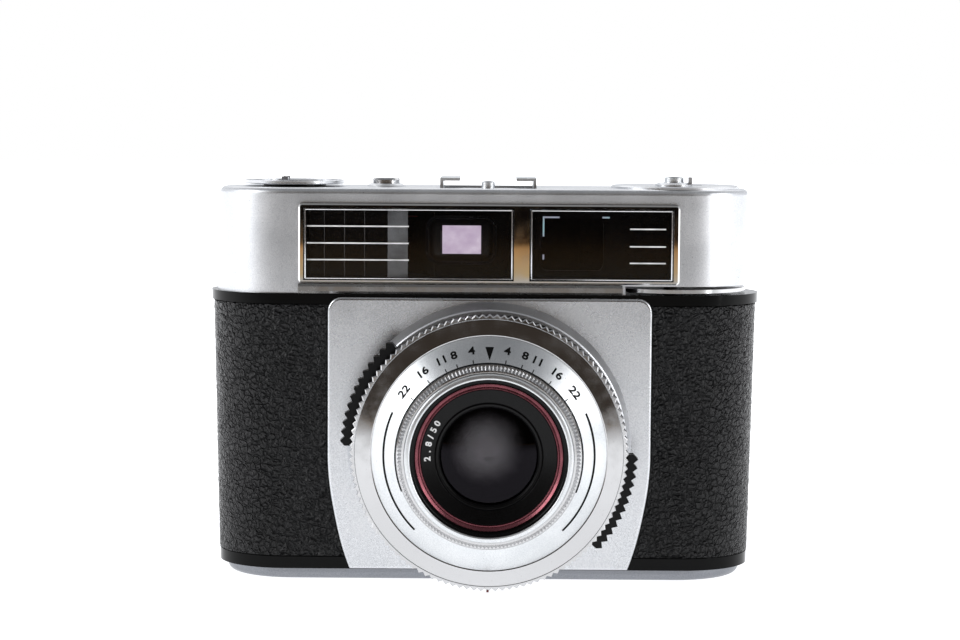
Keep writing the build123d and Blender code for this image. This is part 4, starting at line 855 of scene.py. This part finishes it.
# ------------------------------------------------------------------ studio
@dataclass
class Studio:
    """White table, soft lights and the camera that looks at the front.

    Attributes:
        eye: the viewpoint in millimetres.
        tilt: how far the view looks down, in degrees.
        turn: how far it looks to the side.
        roll: how far it leans.
        lens_mm: focal length on a 36 mm wide picture.
        left_level: brightness of the room at the left.
        right_level: brightness of the room at the right.
        top_level: share of that overhead.
        viewer_level: share of that behind the viewer.
        near_glow: share of even light in the paper under the camera.
        near_paper: brightness of the paper close in front.
        far_paper: brightness of the paper before its far edge.
        boxes: each soft box's name, place, width and height in metres, and watts.
    """

    eye: tuple[float, float, float] = (0.0, -583.26, 103.63)
    tilt: float = 4.6326
    turn: float = -0.2181
    roll: float = 0.3698
    lens_mm: float = 97.5
    left_level: float = 0.97
    right_level: float = 0.93
    top_level: float = 0.28
    viewer_level: float = 0.08
    near_glow: float = 0.5
    near_paper: float = 1.95
    far_paper: float = 0.5
    boxes: tuple[tuple[str, tuple[float, float, float], float, float, float], ...] = (
        ("left_softbox", (-0.85, -0.3, 0.5), 0.5, 0.6, 4.0),
        ("right_softbox", (0.85, -0.22, 0.45), 0.35, 0.5, 1.8),
        ("right_window", (0.72, -0.5, 0.2), 0.1, 0.45, 0.7),
        ("back_softbox", (0.0, 0.7, 0.8), 1.2, 0.6, 2.0))

    def place_camera(self) -> None:
        """Puts the camera at the eye and makes it the scene's."""
        tilt, turn, roll = (math.radians(value) for value in (self.tilt, self.turn, self.roll))
        ahead = Vector((math.sin(turn) * math.cos(tilt), math.cos(turn) * math.cos(tilt),
                        -math.sin(tilt)))
        right = Vector((math.cos(turn), -math.sin(turn), 0))
        up = right.cross(ahead)
        leaned = right * math.cos(roll) + up * math.sin(roll)
        upright = up * math.cos(roll) - right * math.sin(roll)
        data = bpy.data.cameras.new("view")
        data.lens = self.lens_mm
        data.sensor_width = 36.0
        data.clip_start = 0.01
        view = bpy.data.objects.new("view", data)
        columns = Matrix((leaned, upright, -ahead)).transposed().to_4x4()
        view.matrix_world = Matrix.Translation(Vector(self.eye) * MM) @ columns
        bpy.context.scene.collection.objects.link(view)
        bpy.context.scene.camera = view

    def lay_table(self) -> None:
        """Lays the white sheet that the camera stands on, with a brown board's edge beyond it."""
        select_none()
        bpy.ops.mesh.primitive_plane_add(size=7.0, location=(0, 0.9, 0))
        table = bpy.context.active_object
        bpy.ops.object.transform_apply(location=True, rotation=True, scale=True)
        table.name = "white_sheet"
        material = bpy.data.materials.new("white_paper_sheet")
        material.use_nodes = True
        tree = material.node_tree
        shader = tree.nodes["Principled BSDF"]
        shader.inputs["Roughness"].default_value = 0.7
        place = add_node(tree, "ShaderNodeTexCoord").outputs["Object"]
        axes = add_node(tree, "ShaderNodeSeparateXYZ", inputs={"Vector": place})
        ahead = add_node(tree, "ShaderNodeMapRange",
                         inputs={"Value": axes.outputs["Y"], "From Min": -1.6, "From Max": -0.9})
        board = add_node(tree, "ShaderNodeValToRGB",
                         {"stops": ((0.0, "#15110f"), (0.2, "#3a2a1f"), (0.3, "#fcbf7c"),
                                    (0.76, "#ffe0ac"), (0.84, "#fbfcfe"))}, {"Fac": ahead})
        tree.links.new(board.outputs["Color"], shader.inputs["Base Color"])
        reach = add_node(tree, "ShaderNodeVectorMath", {"operation": "LENGTH"}, {0: place})
        # Far from the camera the paper is evenly lit, so its brightness is set there.
        far = add_node(tree, "ShaderNodeMapRange",
                       inputs={"Value": reach.outputs["Value"], "From Min": 0.1, "From Max": 0.4,
                               "To Min": self.near_glow})
        # Towards the viewer the paper falls off, from bright under the lens to grey at its edge.
        falling = add_node(tree, "ShaderNodeMapRange",
                           inputs={"Value": axes.outputs["Y"], "From Min": -0.7, "From Max": -0.1,
                                   "To Min": self.far_paper, "To Max": self.near_paper})
        glow = add_node(tree, "ShaderNodeEmission", inputs={"Color": board, "Strength": falling})
        mixed = add_node(tree, "ShaderNodeMixShader", inputs={0: far, 1: shader, 2: glow})
        tree.links.new(mixed.outputs["Shader"], tree.nodes["Material Output"].inputs["Surface"])
        table.data.materials.append(material)

    def light(self) -> None:
        """Sets the white surround, dim above and towards the viewer, and the soft boxes."""
        scene = bpy.context.scene
        scene.view_settings.view_transform = "Standard"
        world = bpy.data.worlds.new("white_room")
        scene.world = world
        world.use_nodes = True
        tree = world.node_tree
        tree.nodes.clear()
        direction = add_node(tree, "ShaderNodeTexCoord").outputs["Generated"]
        axes = add_node(tree, "ShaderNodeSeparateXYZ", inputs={"Vector": direction})
        side = add_node(tree, "ShaderNodeMapRange",
                        inputs={"Value": axes.outputs["X"], "From Min": -0.9, "From Max": 0.9,
                                "To Min": self.left_level, "To Max": self.right_level})
        above = add_node(tree, "ShaderNodeMapRange",
                         inputs={"Value": axes.outputs["Z"], "From Min": 0.3, "From Max": 0.92,
                                 "To Min": 1.0, "To Max": self.top_level})
        front = add_node(tree, "ShaderNodeMapRange",
                         inputs={"Value": axes.outputs["Y"], "From Min": -0.9, "From Max": -0.3,
                                 "To Min": self.viewer_level, "To Max": 1.0})
        level = add_node(tree, "ShaderNodeMath", {"operation": "MULTIPLY"}, {0: side, 1: above})
        level = add_node(tree, "ShaderNodeMath", {"operation": "MULTIPLY"}, {0: level, 1: front})
        tint = add_node(tree, "ShaderNodeValToRGB",
                        {"stops": ((0.0, "#d9c0a8"), (0.6, "#f4f6fa"))}, {"Fac": front})
        seen = add_node(tree, "ShaderNodeBackground", inputs={"Color": "#ffffff"})
        felt = add_node(tree, "ShaderNodeBackground", inputs={"Color": tint, "Strength": level})
        ray = add_node(tree, "ShaderNodeLightPath").outputs["Is Camera Ray"]
        mixed = add_node(tree, "ShaderNodeMixShader", inputs={0: ray, 1: felt, 2: seen})
        add_node(tree, "ShaderNodeOutputWorld", inputs={"Surface": mixed})
        for box in self.boxes:
            self.softbox(*box)

    def softbox(self, name: str, place: tuple[float, float, float], width: float, height: float,
                watts: float) -> None:
        """Hangs one soft box that faces the camera's body.

        Args:
            name: the light's name.
            place: where it hangs, in metres.
            width: its width in metres.
            height: its height in metres.
            watts: its power.
        """
        data = bpy.data.lights.new(name, "AREA")
        data.shape = "RECTANGLE"
        data.size = width
        data.size_y = height
        data.energy = watts
        lamp = bpy.data.objects.new(name, data)
        lamp.location = place
        aim = Vector((0, 0, 0.045)) - Vector(place)
        lamp.rotation_euler = aim.to_track_quat("-Z", "Y").to_euler()
        bpy.context.scene.collection.objects.link(lamp)

    def build(self) -> None:
        """Builds the whole studio."""
        self.place_camera()
        self.lay_table()
        self.light()


# ------------------------------------------------------------------ lens
@dataclass
class LensFront:
    """The turning rings, the scale and the front cell of the lens; sizes in millimetres."""

    rim_teeth: int = 120
    rim_r: float = 29.65
    tooth: float = 0.6
    fine_tooth: float = 0.42
    band_r: float = 28.5
    face_r: float = 25.0
    face_inner_r: float = 19.58
    focus_r: float = 19.52
    focus_teeth: int = 150
    cell_r: float = 17.8
    thread_r: float = 16.2
    thread_pitch: float = 0.5
    thread_turns: int = 4
    sleeve_wall: float = 0.42
    red_r: float = 15.7
    name_r: float = 14.4
    glass_r: float = 10.4
    numeral_r: float = 22.4
    numeral_size: float = 2.0
    arc_r: float = 22.3
    arc_w: float = 0.62
    arc_sweep: float = 69.5
    arc_starts: tuple[tuple[str, float], ...] = (("left_arc", -135.5), ("right_arc", 66.0))
    # The next two values size the painted shadow line in the gap round the scale's inner edge.
    line_w: float = 0.4
    shadow_line_sweep: float = 224.0
    numerals: tuple[tuple[str, float], ...] = (("4", 9.7), ("8", 19.6), ("11", 26.8), ("16", 39.0),
                                               ("22", 53.2))
    figures: str = "2.8/50"
    figure_size: float = 1.35
    figure_r: float = 12.9
    figure_start: float = -92
    figure_step: float = 7.0

    def __post_init__(self) -> None:
        """Reads the lens axis and the front faces from the frame."""
        low, high = box_mm("scale_face")
        self.axis_z = (low.z + high.z) / 2
        self.centre = Vector((0, 0, self.axis_z * MM))
        self.face_y, self.face_back = low.y, high.y
        self.rim_y, self.rim_back = depth_mm("speed_ring")
        self.focus_y, self.focus_back = depth_mm("focus_ring")
        self.cell_y, self.cell_back = depth_mm("filter_ring")
        self.red_y, self.red_back = depth_mm("red_ring")
        self.name_y, self.name_back = depth_mm("name_ring")

    def ring(self, name: str, profile: Profile, steps: int = 240, edge_mm: float = 0.0,
             start: float = 0.0, sweep: float = 360.0) -> bpy.types.Object:
        """Turns a ring, or part of one, about the lens axis.

        Args:
            name: the piece's name.
            profile: (radius, y) points round its section.
            steps: faces round the turn.
            edge_mm: radius of its sharp edges.
            start: where an arc starts, clockwise from the top in degrees.
            sweep: how far it goes round.

        Returns:
            The ring.
        """
        return turned(name, profile, self.centre, Vector((0, 1, 0)), steps, edge_mm,
                      math.radians(start), math.radians(sweep))

    def cone_y(self, radius: float) -> float:
        """Height of the scale's sloping face at a radius, as a y in millimetres."""
        share = (radius - self.face_inner_r) / (self.face_r - self.face_inner_r)
        return self.face_y + share * (self.rim_y - self.face_y)

    def on_slope(self, degrees: float, slope: tuple[float, float], radius: float, height: float,
                 lift: float) -> Matrix:
        """Gives the place of a mark on a sloping ring.

        Args:
            degrees: clockwise from the top.
            slope: how far the ring's face runs outwards, and its rise in y over that.
            radius: the mark's distance from the lens axis.
            height: the face's y there.
            lift: height above the face.

        Returns:
            A matrix whose x runs clockwise, y outwards and z off the face.
        """
        angle = math.radians(degrees)
        outward = Vector((math.sin(angle), 0, math.cos(angle)))
        along = Vector((math.cos(angle), 0, -math.sin(angle)))
        climb = (outward * slope[0] + Vector((0, slope[1], 0))).normalized()
        off = along.cross(climb)
        spot = self.centre + (outward * radius + Vector((0, height, 0)) + off * lift) * MM
        return Matrix.Translation(spot) @ Matrix((along, climb, off)).transposed().to_4x4()

    def on_face(self, degrees: float, radius: float, lift: float = 0.0) -> Matrix:
        """Gives the place of a mark on the scale's face, as on_slope does."""
        slope = (self.face_r - self.face_inner_r, self.rim_y - self.face_y)
        return self.on_slope(degrees, slope, radius, self.cone_y(radius), lift)

    def speed_ring(self) -> None:
        """Makes the large ring: a serrated rim and a polished, sloping band."""
        back, front = self.rim_back, self.rim_y
        profile = [(24.06, back), (self.rim_r - 0.8, back), (self.rim_r - 0.35, back - 0.2),
                   (self.rim_r, back - 0.55), (self.rim_r, front + 0.85),
                   (self.rim_r - 0.3, front + 0.6),
                   (self.band_r + 0.15, front + 0.58), (self.band_r, front + 0.72),
                   (self.face_r + 0.25, front + 0.04), (self.face_r + 0.06, front + 0.1),
                   (self.face_r + 0.06, self.face_back), (24.06, self.face_back)]
        piece = self.ring("speed_ring_turned", profile, 2 * self.rim_teeth)
        knurl(piece, self.centre, 1, 2 * self.rim_teeth, self.rim_r - 0.32,
              (front + 0.5, back - 0.1), self.tooth)
        fit(piece, "speed_ring", "chrome", Look.BRIGHT_CHROME, "speed_ring")
        low_z = self.axis_z - self.rim_r
        mark = bar("speed_index", Vector((-0.36, front + 0.3, low_z - 0.12)),
                   Vector((0.14, front + 1.2, low_z + 0.3)), 0.04)
        fit(mark, "speed_ring", "chrome", Look.INK_RED)

    def scale(self) -> None:
        """Makes the sloping face with its numerals, ticks, mark, engraved arcs and a painted shadow
        line in the gap at its inner edge.
        """
        profile = [(self.face_r, self.face_back), (self.face_r, self.rim_y),
                   (self.face_inner_r, self.face_y), (self.face_inner_r, self.face_y + 3.2),
                   (self.face_r - 2.6, self.face_back)]
        fit(self.ring("scale_face_turned", profile, 256, 0.07), "body", "satin_chrome",
            Look.FACE_CHROME, "scale_face")
        marks = [self.triangle()]
        for side in (-1, 1):
            for words, degrees in self.numerals:
                numeral = raised_text(f"numeral_{words}", words, self.numeral_size, 0.035)
                settle(numeral, self.on_face(side * degrees, self.numeral_r, 0.03))
                tick = bar("tick", Vector((-0.11, -0.45, -0.02)), Vector((0.11, 0.45, 0.05)), 0.0)
                settle(tick, self.on_face(side * degrees, self.face_inner_r + 0.7))
                marks += [numeral, tick]
        for name, start in self.arc_starts:
            marks.append(self.groove(name, self.arc_r, self.arc_w, start, self.arc_sweep))
        # A painted shadow: a black line round the upper part of the inner edge stands for the shade
        # in the gap between the scale and the focusing ring.
        marks.append(self.groove("gap_painted_shadow_line", self.face_inner_r + 0.2, self.line_w,
                                 -self.shadow_line_sweep / 2, self.shadow_line_sweep))
        fit(join("scale_marks", marks), "body", "satin_chrome", Look.INK_BLACK)

    def triangle(self) -> bpy.types.Object:
        """Makes the black pointer at the top of the scale.

        Returns:
            The pointer, in place.
        """
        piece = bar("pointer", Vector((-0.9, -1.75, -0.02)), Vector((0.9, 1.75, 0.05)), 0.0)
        edit(piece, lambda place: place.y < 0)
        bpy.ops.transform.resize(value=(0.06, 1, 1), center_override=(0, 0, 0))
        done()
        settle(piece, self.on_face(0, self.numeral_r - 0.7))
        return piece

    def groove(self, name: str, radius: float, width: float, start: float,
               sweep: float) -> bpy.types.Object:
        """Makes one painted line that runs round the sloping face.

        Args:
            name: the line's name.
            radius: its middle radius.
            width: its width up the slope.
            start: where it starts, clockwise from the top.
            sweep: how far it goes.

        Returns:
            The line.
        """
        inner, outer = radius - width * 0.35, radius + width * 0.35
        profile = [(inner, self.cone_y(inner) + 0.02), (outer, self.cone_y(outer) + 0.02),
                   (outer, self.cone_y(outer) - 0.04), (inner, self.cone_y(inner) - 0.04)]
        return self.ring(name, profile, max(24, int(sweep / 1.5)), 0.0, start, sweep)

    def focusing_ring(self) -> None:
        """Makes the focusing ring with fine teeth on its sloping front edge."""
        front, slope = self.focus_y, self.focus_y + 1.4
        profile = [(self.cell_r + 0.06, self.focus_back), (self.focus_r, self.focus_back),
                   (self.focus_r, slope), (self.focus_r - 0.12, slope - 0.15),
                   (self.focus_r - 1.0, front + 0.2), (self.focus_r - 1.12, front + 0.02),
                   (self.focus_r - 1.3, front), (self.cell_r + 0.14, front),
                   (self.cell_r + 0.06, front + 0.1)]
        piece = self.ring("focusing_ring_turned", profile, 2 * self.focus_teeth)
        knurl(piece, self.centre, 1, 2 * self.focus_teeth, self.focus_r - 1.05,
              (front + 0.1, slope - 0.1), self.fine_tooth)
        fit(piece, "focus_ring", "satin_chrome", Look.BRIGHT_CHROME, "focus_ring")

    def front_cell(self) -> None:
        """Makes the silver barrel, the black thread sleeve, the red ring and the black ring."""
        front, back = self.cell_y, self.cell_back
        sleeve_r = self.thread_r + self.sleeve_wall
        barrel = [(sleeve_r, back), (self.cell_r, back), (self.cell_r, front + 0.55),
                  (self.cell_r - 0.2, front + 0.2), (self.cell_r - 0.55, front + 0.03),
                  (sleeve_r + 0.25, front), (sleeve_r, front + 0.15)]
        fit(self.ring("front_barrel", barrel, 256, 0.05), "front_cell", "satin_chrome",
            Look.FACE_CHROME, "filter_ring")
        sleeve = [(self.glass_r, back), (sleeve_r - 0.02, back), (sleeve_r - 0.02, front + 0.2)]
        for turn in range(self.thread_turns):
            start = front + 0.2 + turn * self.thread_pitch
            sleeve += [(self.thread_r, start + 0.1), (self.thread_r, start + 0.2),
                       (self.thread_r + 0.26, start + 0.35)]
        sleeve += [(self.thread_r, front + 2.3), (self.red_r + 0.03, front + 2.4),
                   (self.red_r + 0.03, back - 0.9), (self.glass_r, back - 0.9)]
        fit(self.ring("thread_sleeve", sleeve, 192), "front_cell", "satin_chrome",
            Look.BLACK_ANODISED)
        red, behind = self.red_y, self.red_back
        lips = [(self.name_r, behind), (self.red_r, behind), (self.red_r, red + 0.25),
                (self.red_r - 0.08, red + 0.06), (self.red_r - 0.22, red),
                (self.red_r - 0.36, red + 0.14),
                (self.name_r + 0.42, red + 0.5), (self.name_r + 0.3, red + 0.32),
                (self.name_r + 0.12, red + 0.3), (self.name_r, red + 0.45)]
        fit(self.ring("red_ring_turned", lips, 256, 0.03), "front_cell", "red_anodised",
            Look.RED_ANODISED, "red_ring")
        face, deep = self.name_y, self.name_back
        grooves = [(self.glass_r, deep), (self.name_r - 0.02, deep),
                   (self.name_r - 0.02, face + 0.1), (self.name_r - 0.15, face),
                   (self.glass_r + 1.1, face + 0.95),
                   (self.glass_r + 1.0, face + 1.12), (self.glass_r + 0.85, face + 1.0),
                   (self.glass_r + 0.7, face + 0.9), (self.glass_r + 0.3, face + 1.0),
                   (self.glass_r, face + 1.4)]
        fit(self.ring("black_ring_turned", grooves, 256, 0.04), "front_cell", "black_plate",
            Look.BLACK_ANODISED, "name_ring")
        digits = []
        for index, figure in enumerate(self.figures):
            digit = raised_text(f"figure_{index}", figure, self.figure_size, 0.02)
            degrees = self.figure_start + self.figure_step * index
            settle(digit, self.on_slope(degrees, (2.75, -0.95), self.figure_r, face + 0.47, 0.02))
            digits.append(digit)
        fit(join("lens_figures", digits), "front_cell", "black_plate", Look.INK_WHITE)

    def build(self) -> None:
        """Builds every piece of the lens."""
        self.speed_ring()
        self.scale()
        self.focusing_ring()
        self.front_cell()


# ------------------------------------------------------------------ windows
@dataclass
class WindowSet:
    """Lines, frames and glass behind the two front windows; sizes in millimetres."""

    left_lines: tuple[float, ...] = (78.05, 74.35, 70.7)
    left_span: tuple[float, float] = (-40.05, -17.8)
    right_lines: tuple[float, ...] = (77.77, 73.95, 70.32)
    right_span: tuple[float, float] = (30.45, 38.3)
    line_w: float = 0.3
    strip_span: tuple[float, float] = (-22.45, -18.05)
    corner: tuple[float, float, float, float] = (11.45, 15.1, 75.95, 80.35)
    cell_ribs: tuple[float, ...] = (-36.3, -31.9, -27.5)
    cell_rows: tuple[float, ...] = (77.95, 74.2, 70.55)
    finder: tuple[float, float, float, float] = (-10.5, -2.05, 72.1, 78.3)
    lip_w: float = 0.32
    mark_w: float = 0.36
    top_dash: tuple[float, float] = (24.5, 26.1)
    side_dash: tuple[float, float] = (70.9, 72.0)
    funnel_margin: tuple[float, float] = (6.6, 4.0)
    funnel_depth: float = 1.7
    funnel_corner: float = 2.6
    funnel_steps: tuple[tuple[float, float], ...] = ((0.4, 0.0), (0.5, -0.35), (0.9, -0.6))

    def __post_init__(self) -> None:
        """Reads the panes' and the housing's faces from the frame."""
        self.bezel_y = box_mm("window_bezel")[0].y
        self.pane_y, self.behind_y = depth_mm("meter_window")
        self.low_z, self.high_z = box_mm("meter_window")[0].z, box_mm("meter_window")[1].z
        self.mask_y = box_mm("frame_mask")[0].y

    def lines(self) -> None:
        """Makes the white lines on both panes."""
        for name, heights, span in (("left_lines", self.left_lines, self.left_span),
                                    ("right_lines", self.right_lines, self.right_span)):
            rows = []
            for height in heights:
                low = Vector((span[0], self.pane_y - 0.03, height - self.line_w / 2))
                high = Vector((span[1], self.pane_y - 0.002, height + self.line_w / 2))
                rows.append(bar(name, low, high, 0.01))
            fit(join(name, rows), "body", "glass", Look.INK_WHITE)

    def strip(self) -> None:
        """Makes the frosted strip between the meter cell and the finder."""
        low = Vector((self.strip_span[0], self.behind_y + 0.02, self.low_z + 0.1))
        high = Vector((self.strip_span[1], self.behind_y + 0.3, self.high_z - 0.1))
        fit(bar("frosted_strip", low, high, 0.08), "body", "glass", Look.FROSTED)

    def cell_grid(self) -> None:
        """Makes the faint ribs of the meter's honeycomb."""
        y0, y1 = self.behind_y + 0.05, self.behind_y + 0.12
        ribs = [bar("rib", Vector((x - 0.09, y0, self.low_z + 0.2)),
                    Vector((x + 0.09, y1, self.high_z - 0.2)), 0.0) for x in self.cell_ribs]
        ribs += [bar("rib", Vector((self.left_span[0], y0 - 0.03, z - 0.07)),
                     Vector((self.strip_span[0], y1 - 0.03, z + 0.07)), 0.0)
                 for z in self.cell_rows]
        fit(join("cell_grid", ribs), "body", "glass", Look.RIB_GREY)

    def lips(self) -> None:
        """Makes the thin bright edges round both openings."""
        rails = []
        for node in ("meter_window", "frame_window"):
            low, high = (corner + Vector((side * 0.22, 0, side * 0.22))
                         for corner, side in zip(box_mm(node), (-1, 1)))
            y0, y1 = self.bezel_y + 0.12, self.pane_y + 0.05
            wide = self.lip_w
            for x0, x1, z0, z1 in ((low.x, high.x, high.z - wide, high.z),
                                   (low.x, high.x, low.z, low.z + wide),
                                   (low.x, low.x + wide, low.z, high.z),
                                   (high.x - wide, high.x, low.z, high.z)):
                rails.append(bar("lip", Vector((x0, y0, z0)), Vector((x1, y1, z1)), 0.15))
        fit(join("window_lips", rails), "body", "chrome", Look.LIP_CHROME)

    def finder_pane(self) -> None:
        """Makes the coated finder glass, with a painted glow that stands in for the daylight
        through it.
        """
        x0, x1, z0, z1 = self.finder
        y0 = self.behind_y + 0.1
        pane = bar("finder_pane", Vector((x0, y0, z0)), Vector((x1, y0 + 0.12, z1)), 0.04)
        fit(pane, "body", "coated_glass", Look.FINDER_GLOW)

    def frame_marks(self) -> None:
        """Makes the finder-frame corner and dashes behind the right pane, with a painted glow."""
        x0, x1, z0, z1 = self.corner
        y0, y1 = self.mask_y - 0.3, self.mask_y - 0.22
        thin = self.mark_w
        parts = [bar("corner_top", Vector((x0, y0, z1 - thin)), Vector((x1, y1, z1)), 0.03),
                 bar("corner_side", Vector((x0, y0, z0)), Vector((x0 + thin, y1, z1 - thin)), 0.03),
                 bar("dash_top", Vector((self.top_dash[0], y0, z1 - thin)),
                     Vector((self.top_dash[1], y1, z1)), 0.03),
                 bar("dash_side", Vector((x0, y0, self.side_dash[0])),
                     Vector((x0 + thin, y1, self.side_dash[1])), 0.03)]
        fit(join("frame_marks", parts), "body", "coated_glass", Look.CYAN_GLOW)

    def finder_funnel(self) -> None:
        """Makes the black rounded funnel round the finder's glass."""
        x0, x1, z0, z1 = self.finder
        front = self.behind_y + 0.25
        back = front + self.funnel_depth
        centre = Vector(((x0 + x1) / 2 - 0.1, (front + back) / 2, (z0 + z1) / 2 - 0.1))
        wide, tall = self.funnel_margin
        piece = block(centre, Vector((x1 - x0 + wide, back - front, z1 - z0 + tall)))
        deep = 0.5 * (back - front) * MM
        for edge in piece.data.edges:
            ends = [piece.data.vertices[index].co for index in edge.vertices]
            edge.select = abs(ends[0].y - ends[1].y) > deep
        bpy.ops.object.mode_set(mode="EDIT")
        bpy.ops.mesh.select_mode(type="EDGE")
        bpy.ops.mesh.bevel(offset=self.funnel_corner * MM, segments=8, affect="EDGES")
        bpy.ops.mesh.select_mode(type="FACE")
        bpy.ops.mesh.select_all(action="DESELECT")
        done()
        for face in piece.data.polygons:
            face.select = face.center.y < (front + 0.01) * MM
        bpy.ops.object.mode_set(mode="EDIT")
        for inward, depth in self.funnel_steps:
            bpy.ops.mesh.inset(thickness=inward * MM, depth=depth * MM)
        bpy.ops.mesh.select_all(action="DESELECT")
        done()
        finish_mesh(piece, "finder_funnel")
        fit(piece, "body", "black_plastic", Look.FINDER_BLACK)

    def build(self) -> None:
        """Builds every mark and frame of the windows."""
        self.lines()
        self.strip()
        self.cell_grid()
        self.lips()
        self.frame_marks()
        self.finder_pane()
        self.finder_funnel()


# ------------------------------------------------------------------ leather
@dataclass
class LeatherCovering:
    """Embossed leather cloth on the ends and the back; sizes in millimetres."""

    weave: float = 0.34
    back_weave: float = 0.47
    crease: float = 1.5
    crease_depth: float = 0.3
    pebble: float = 0.8
    pebble_depth: float = 0.1

    def cloth(self, node: str, body: str, weave: float) -> None:
        """Makes one piece of the covering, creased all over.

        Args:
            node: the CAD node whose outline it takes.
            body: the body that it rides on.
            weave: size of the mesh that the creases are drawn in.
        """
        pick(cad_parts[node])
        bpy.ops.object.duplicate()
        piece = bpy.context.active_object
        piece.parent = None
        edit(piece)
        bpy.ops.mesh.remove_doubles(threshold=MERGE)
        done()
        apply_modifier(piece, "REMESH", {"mode": "VOXEL", "voxel_size": weave * MM})
        for kind, size, depth in (("VORONOI", self.crease, self.crease_depth),
                                  ("CLOUDS", self.pebble, self.pebble_depth)):
            texture = bpy.data.textures.new(f"{node}_{kind.lower()}", kind)
            texture.noise_scale = size * MM
            if kind == "VORONOI":
                texture.distance_metric = "DISTANCE"
                texture.weight_1 = -1.0
                texture.weight_2 = 1.0
            settings = {"texture": texture, "strength": depth * MM, "mid_level": 0.75,
                        "texture_coords": "LOCAL"}
            apply_modifier(piece, "DISPLACE", settings)
        piece.name = f"{node}_cloth"
        piece.data.name = piece.name
        bpy.ops.object.shade_smooth()
        fit(piece, body, "leatherette", Look.LEATHERETTE, node)

    def build(self) -> None:
        """Covers both ends and the back."""
        self.cloth("leather_left", "body", self.weave)
        self.cloth("leather_right", "body", self.weave)
        self.cloth("back_leather", "back_door", self.back_weave)


# ------------------------------------------------------------------ CAD nodes that stay
CAD_LOOKS = {
    Look.BLACK_ENAMEL: ("body_casting", "back_door"),
    Look.COVER_CHROME: ("top_cover", "lens_collar"),
    Look.SATIN_CHROME: ("front_plate", "rewind_disc", "rewind_crank", "counter_plate"),
    Look.FACE_CHROME: ("accessory_shoe", "shoe_stop", "release_button", "scale_face", "focus_ring",
                       "filter_ring"),
    Look.MIRROR_CHROME: ("window_bezel",),
    Look.TRIM_CHROME: ("front_trim",),
    Look.BASE_STEEL: ("base_plate",),
    Look.BRIGHT_CHROME: ("speed_ring", "unlock_button", "wind_lever", "back_latch"),
    Look.LEATHERETTE: ("leather_left", "leather_right", "back_leather"),
    Look.BLACK_ANODISED: ("aperture_ring", "grip_tabs", "name_ring", "shutter_case",
                          "shutter_plate", "pressure_plate"),
    Look.RED_ANODISED: ("red_ring",),
    Look.BLACK_PLASTIC: ("finder_housing", "frame_mask", "eyepiece_frame", "rewind_collar",
                         "take_up_spool"),
    Look.TURNED_STEEL: ("hinge_pin", "tripod_bush", "base_screws", "shoe_screws", "rewind_shaft",
                        "wind_shaft", "sprocket"),
    Look.SPRING_STEEL: ("plate_springs",),
    Look.BLADE_STEEL: ("iris_blades", "shutter_blade_1", "shutter_blade_2", "shutter_blade_3"),
    Look.METER_CELL: ("meter_cell",),
    Look.CAN_ALUMINIUM: ("meter_movement",),
    Look.RED_PAINT: ("meter_needle",),
    Look.WHITE_ENAMEL: ("counter_dial",),
    Look.SILVERING: ("finder_mirrors",),
    Look.LENS_GLASS: ("front_element", "middle_element", "rear_element", "eyepiece_lens"),
    Look.PANE: ("meter_window", "frame_window"),
    Look.FINDER_GLOW: ("finder_objective",),
}


def dress_cad() -> None:
    """Gives every CAD node its finish."""
    for look, names in CAD_LOOKS.items():
        for name in names:
            dress(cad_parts[name], look)
            LOG.info("dressed %s", name)


def main() -> None:
    """Builds the studio and dresses the camera."""
    logging.basicConfig(level=logging.INFO, format="%(message)s")
    Studio().build()
    dress_cad()
    LensFront().build()
    WindowSet().build()
    LeatherCovering().build()


if __name__ == "__main__":
    main()
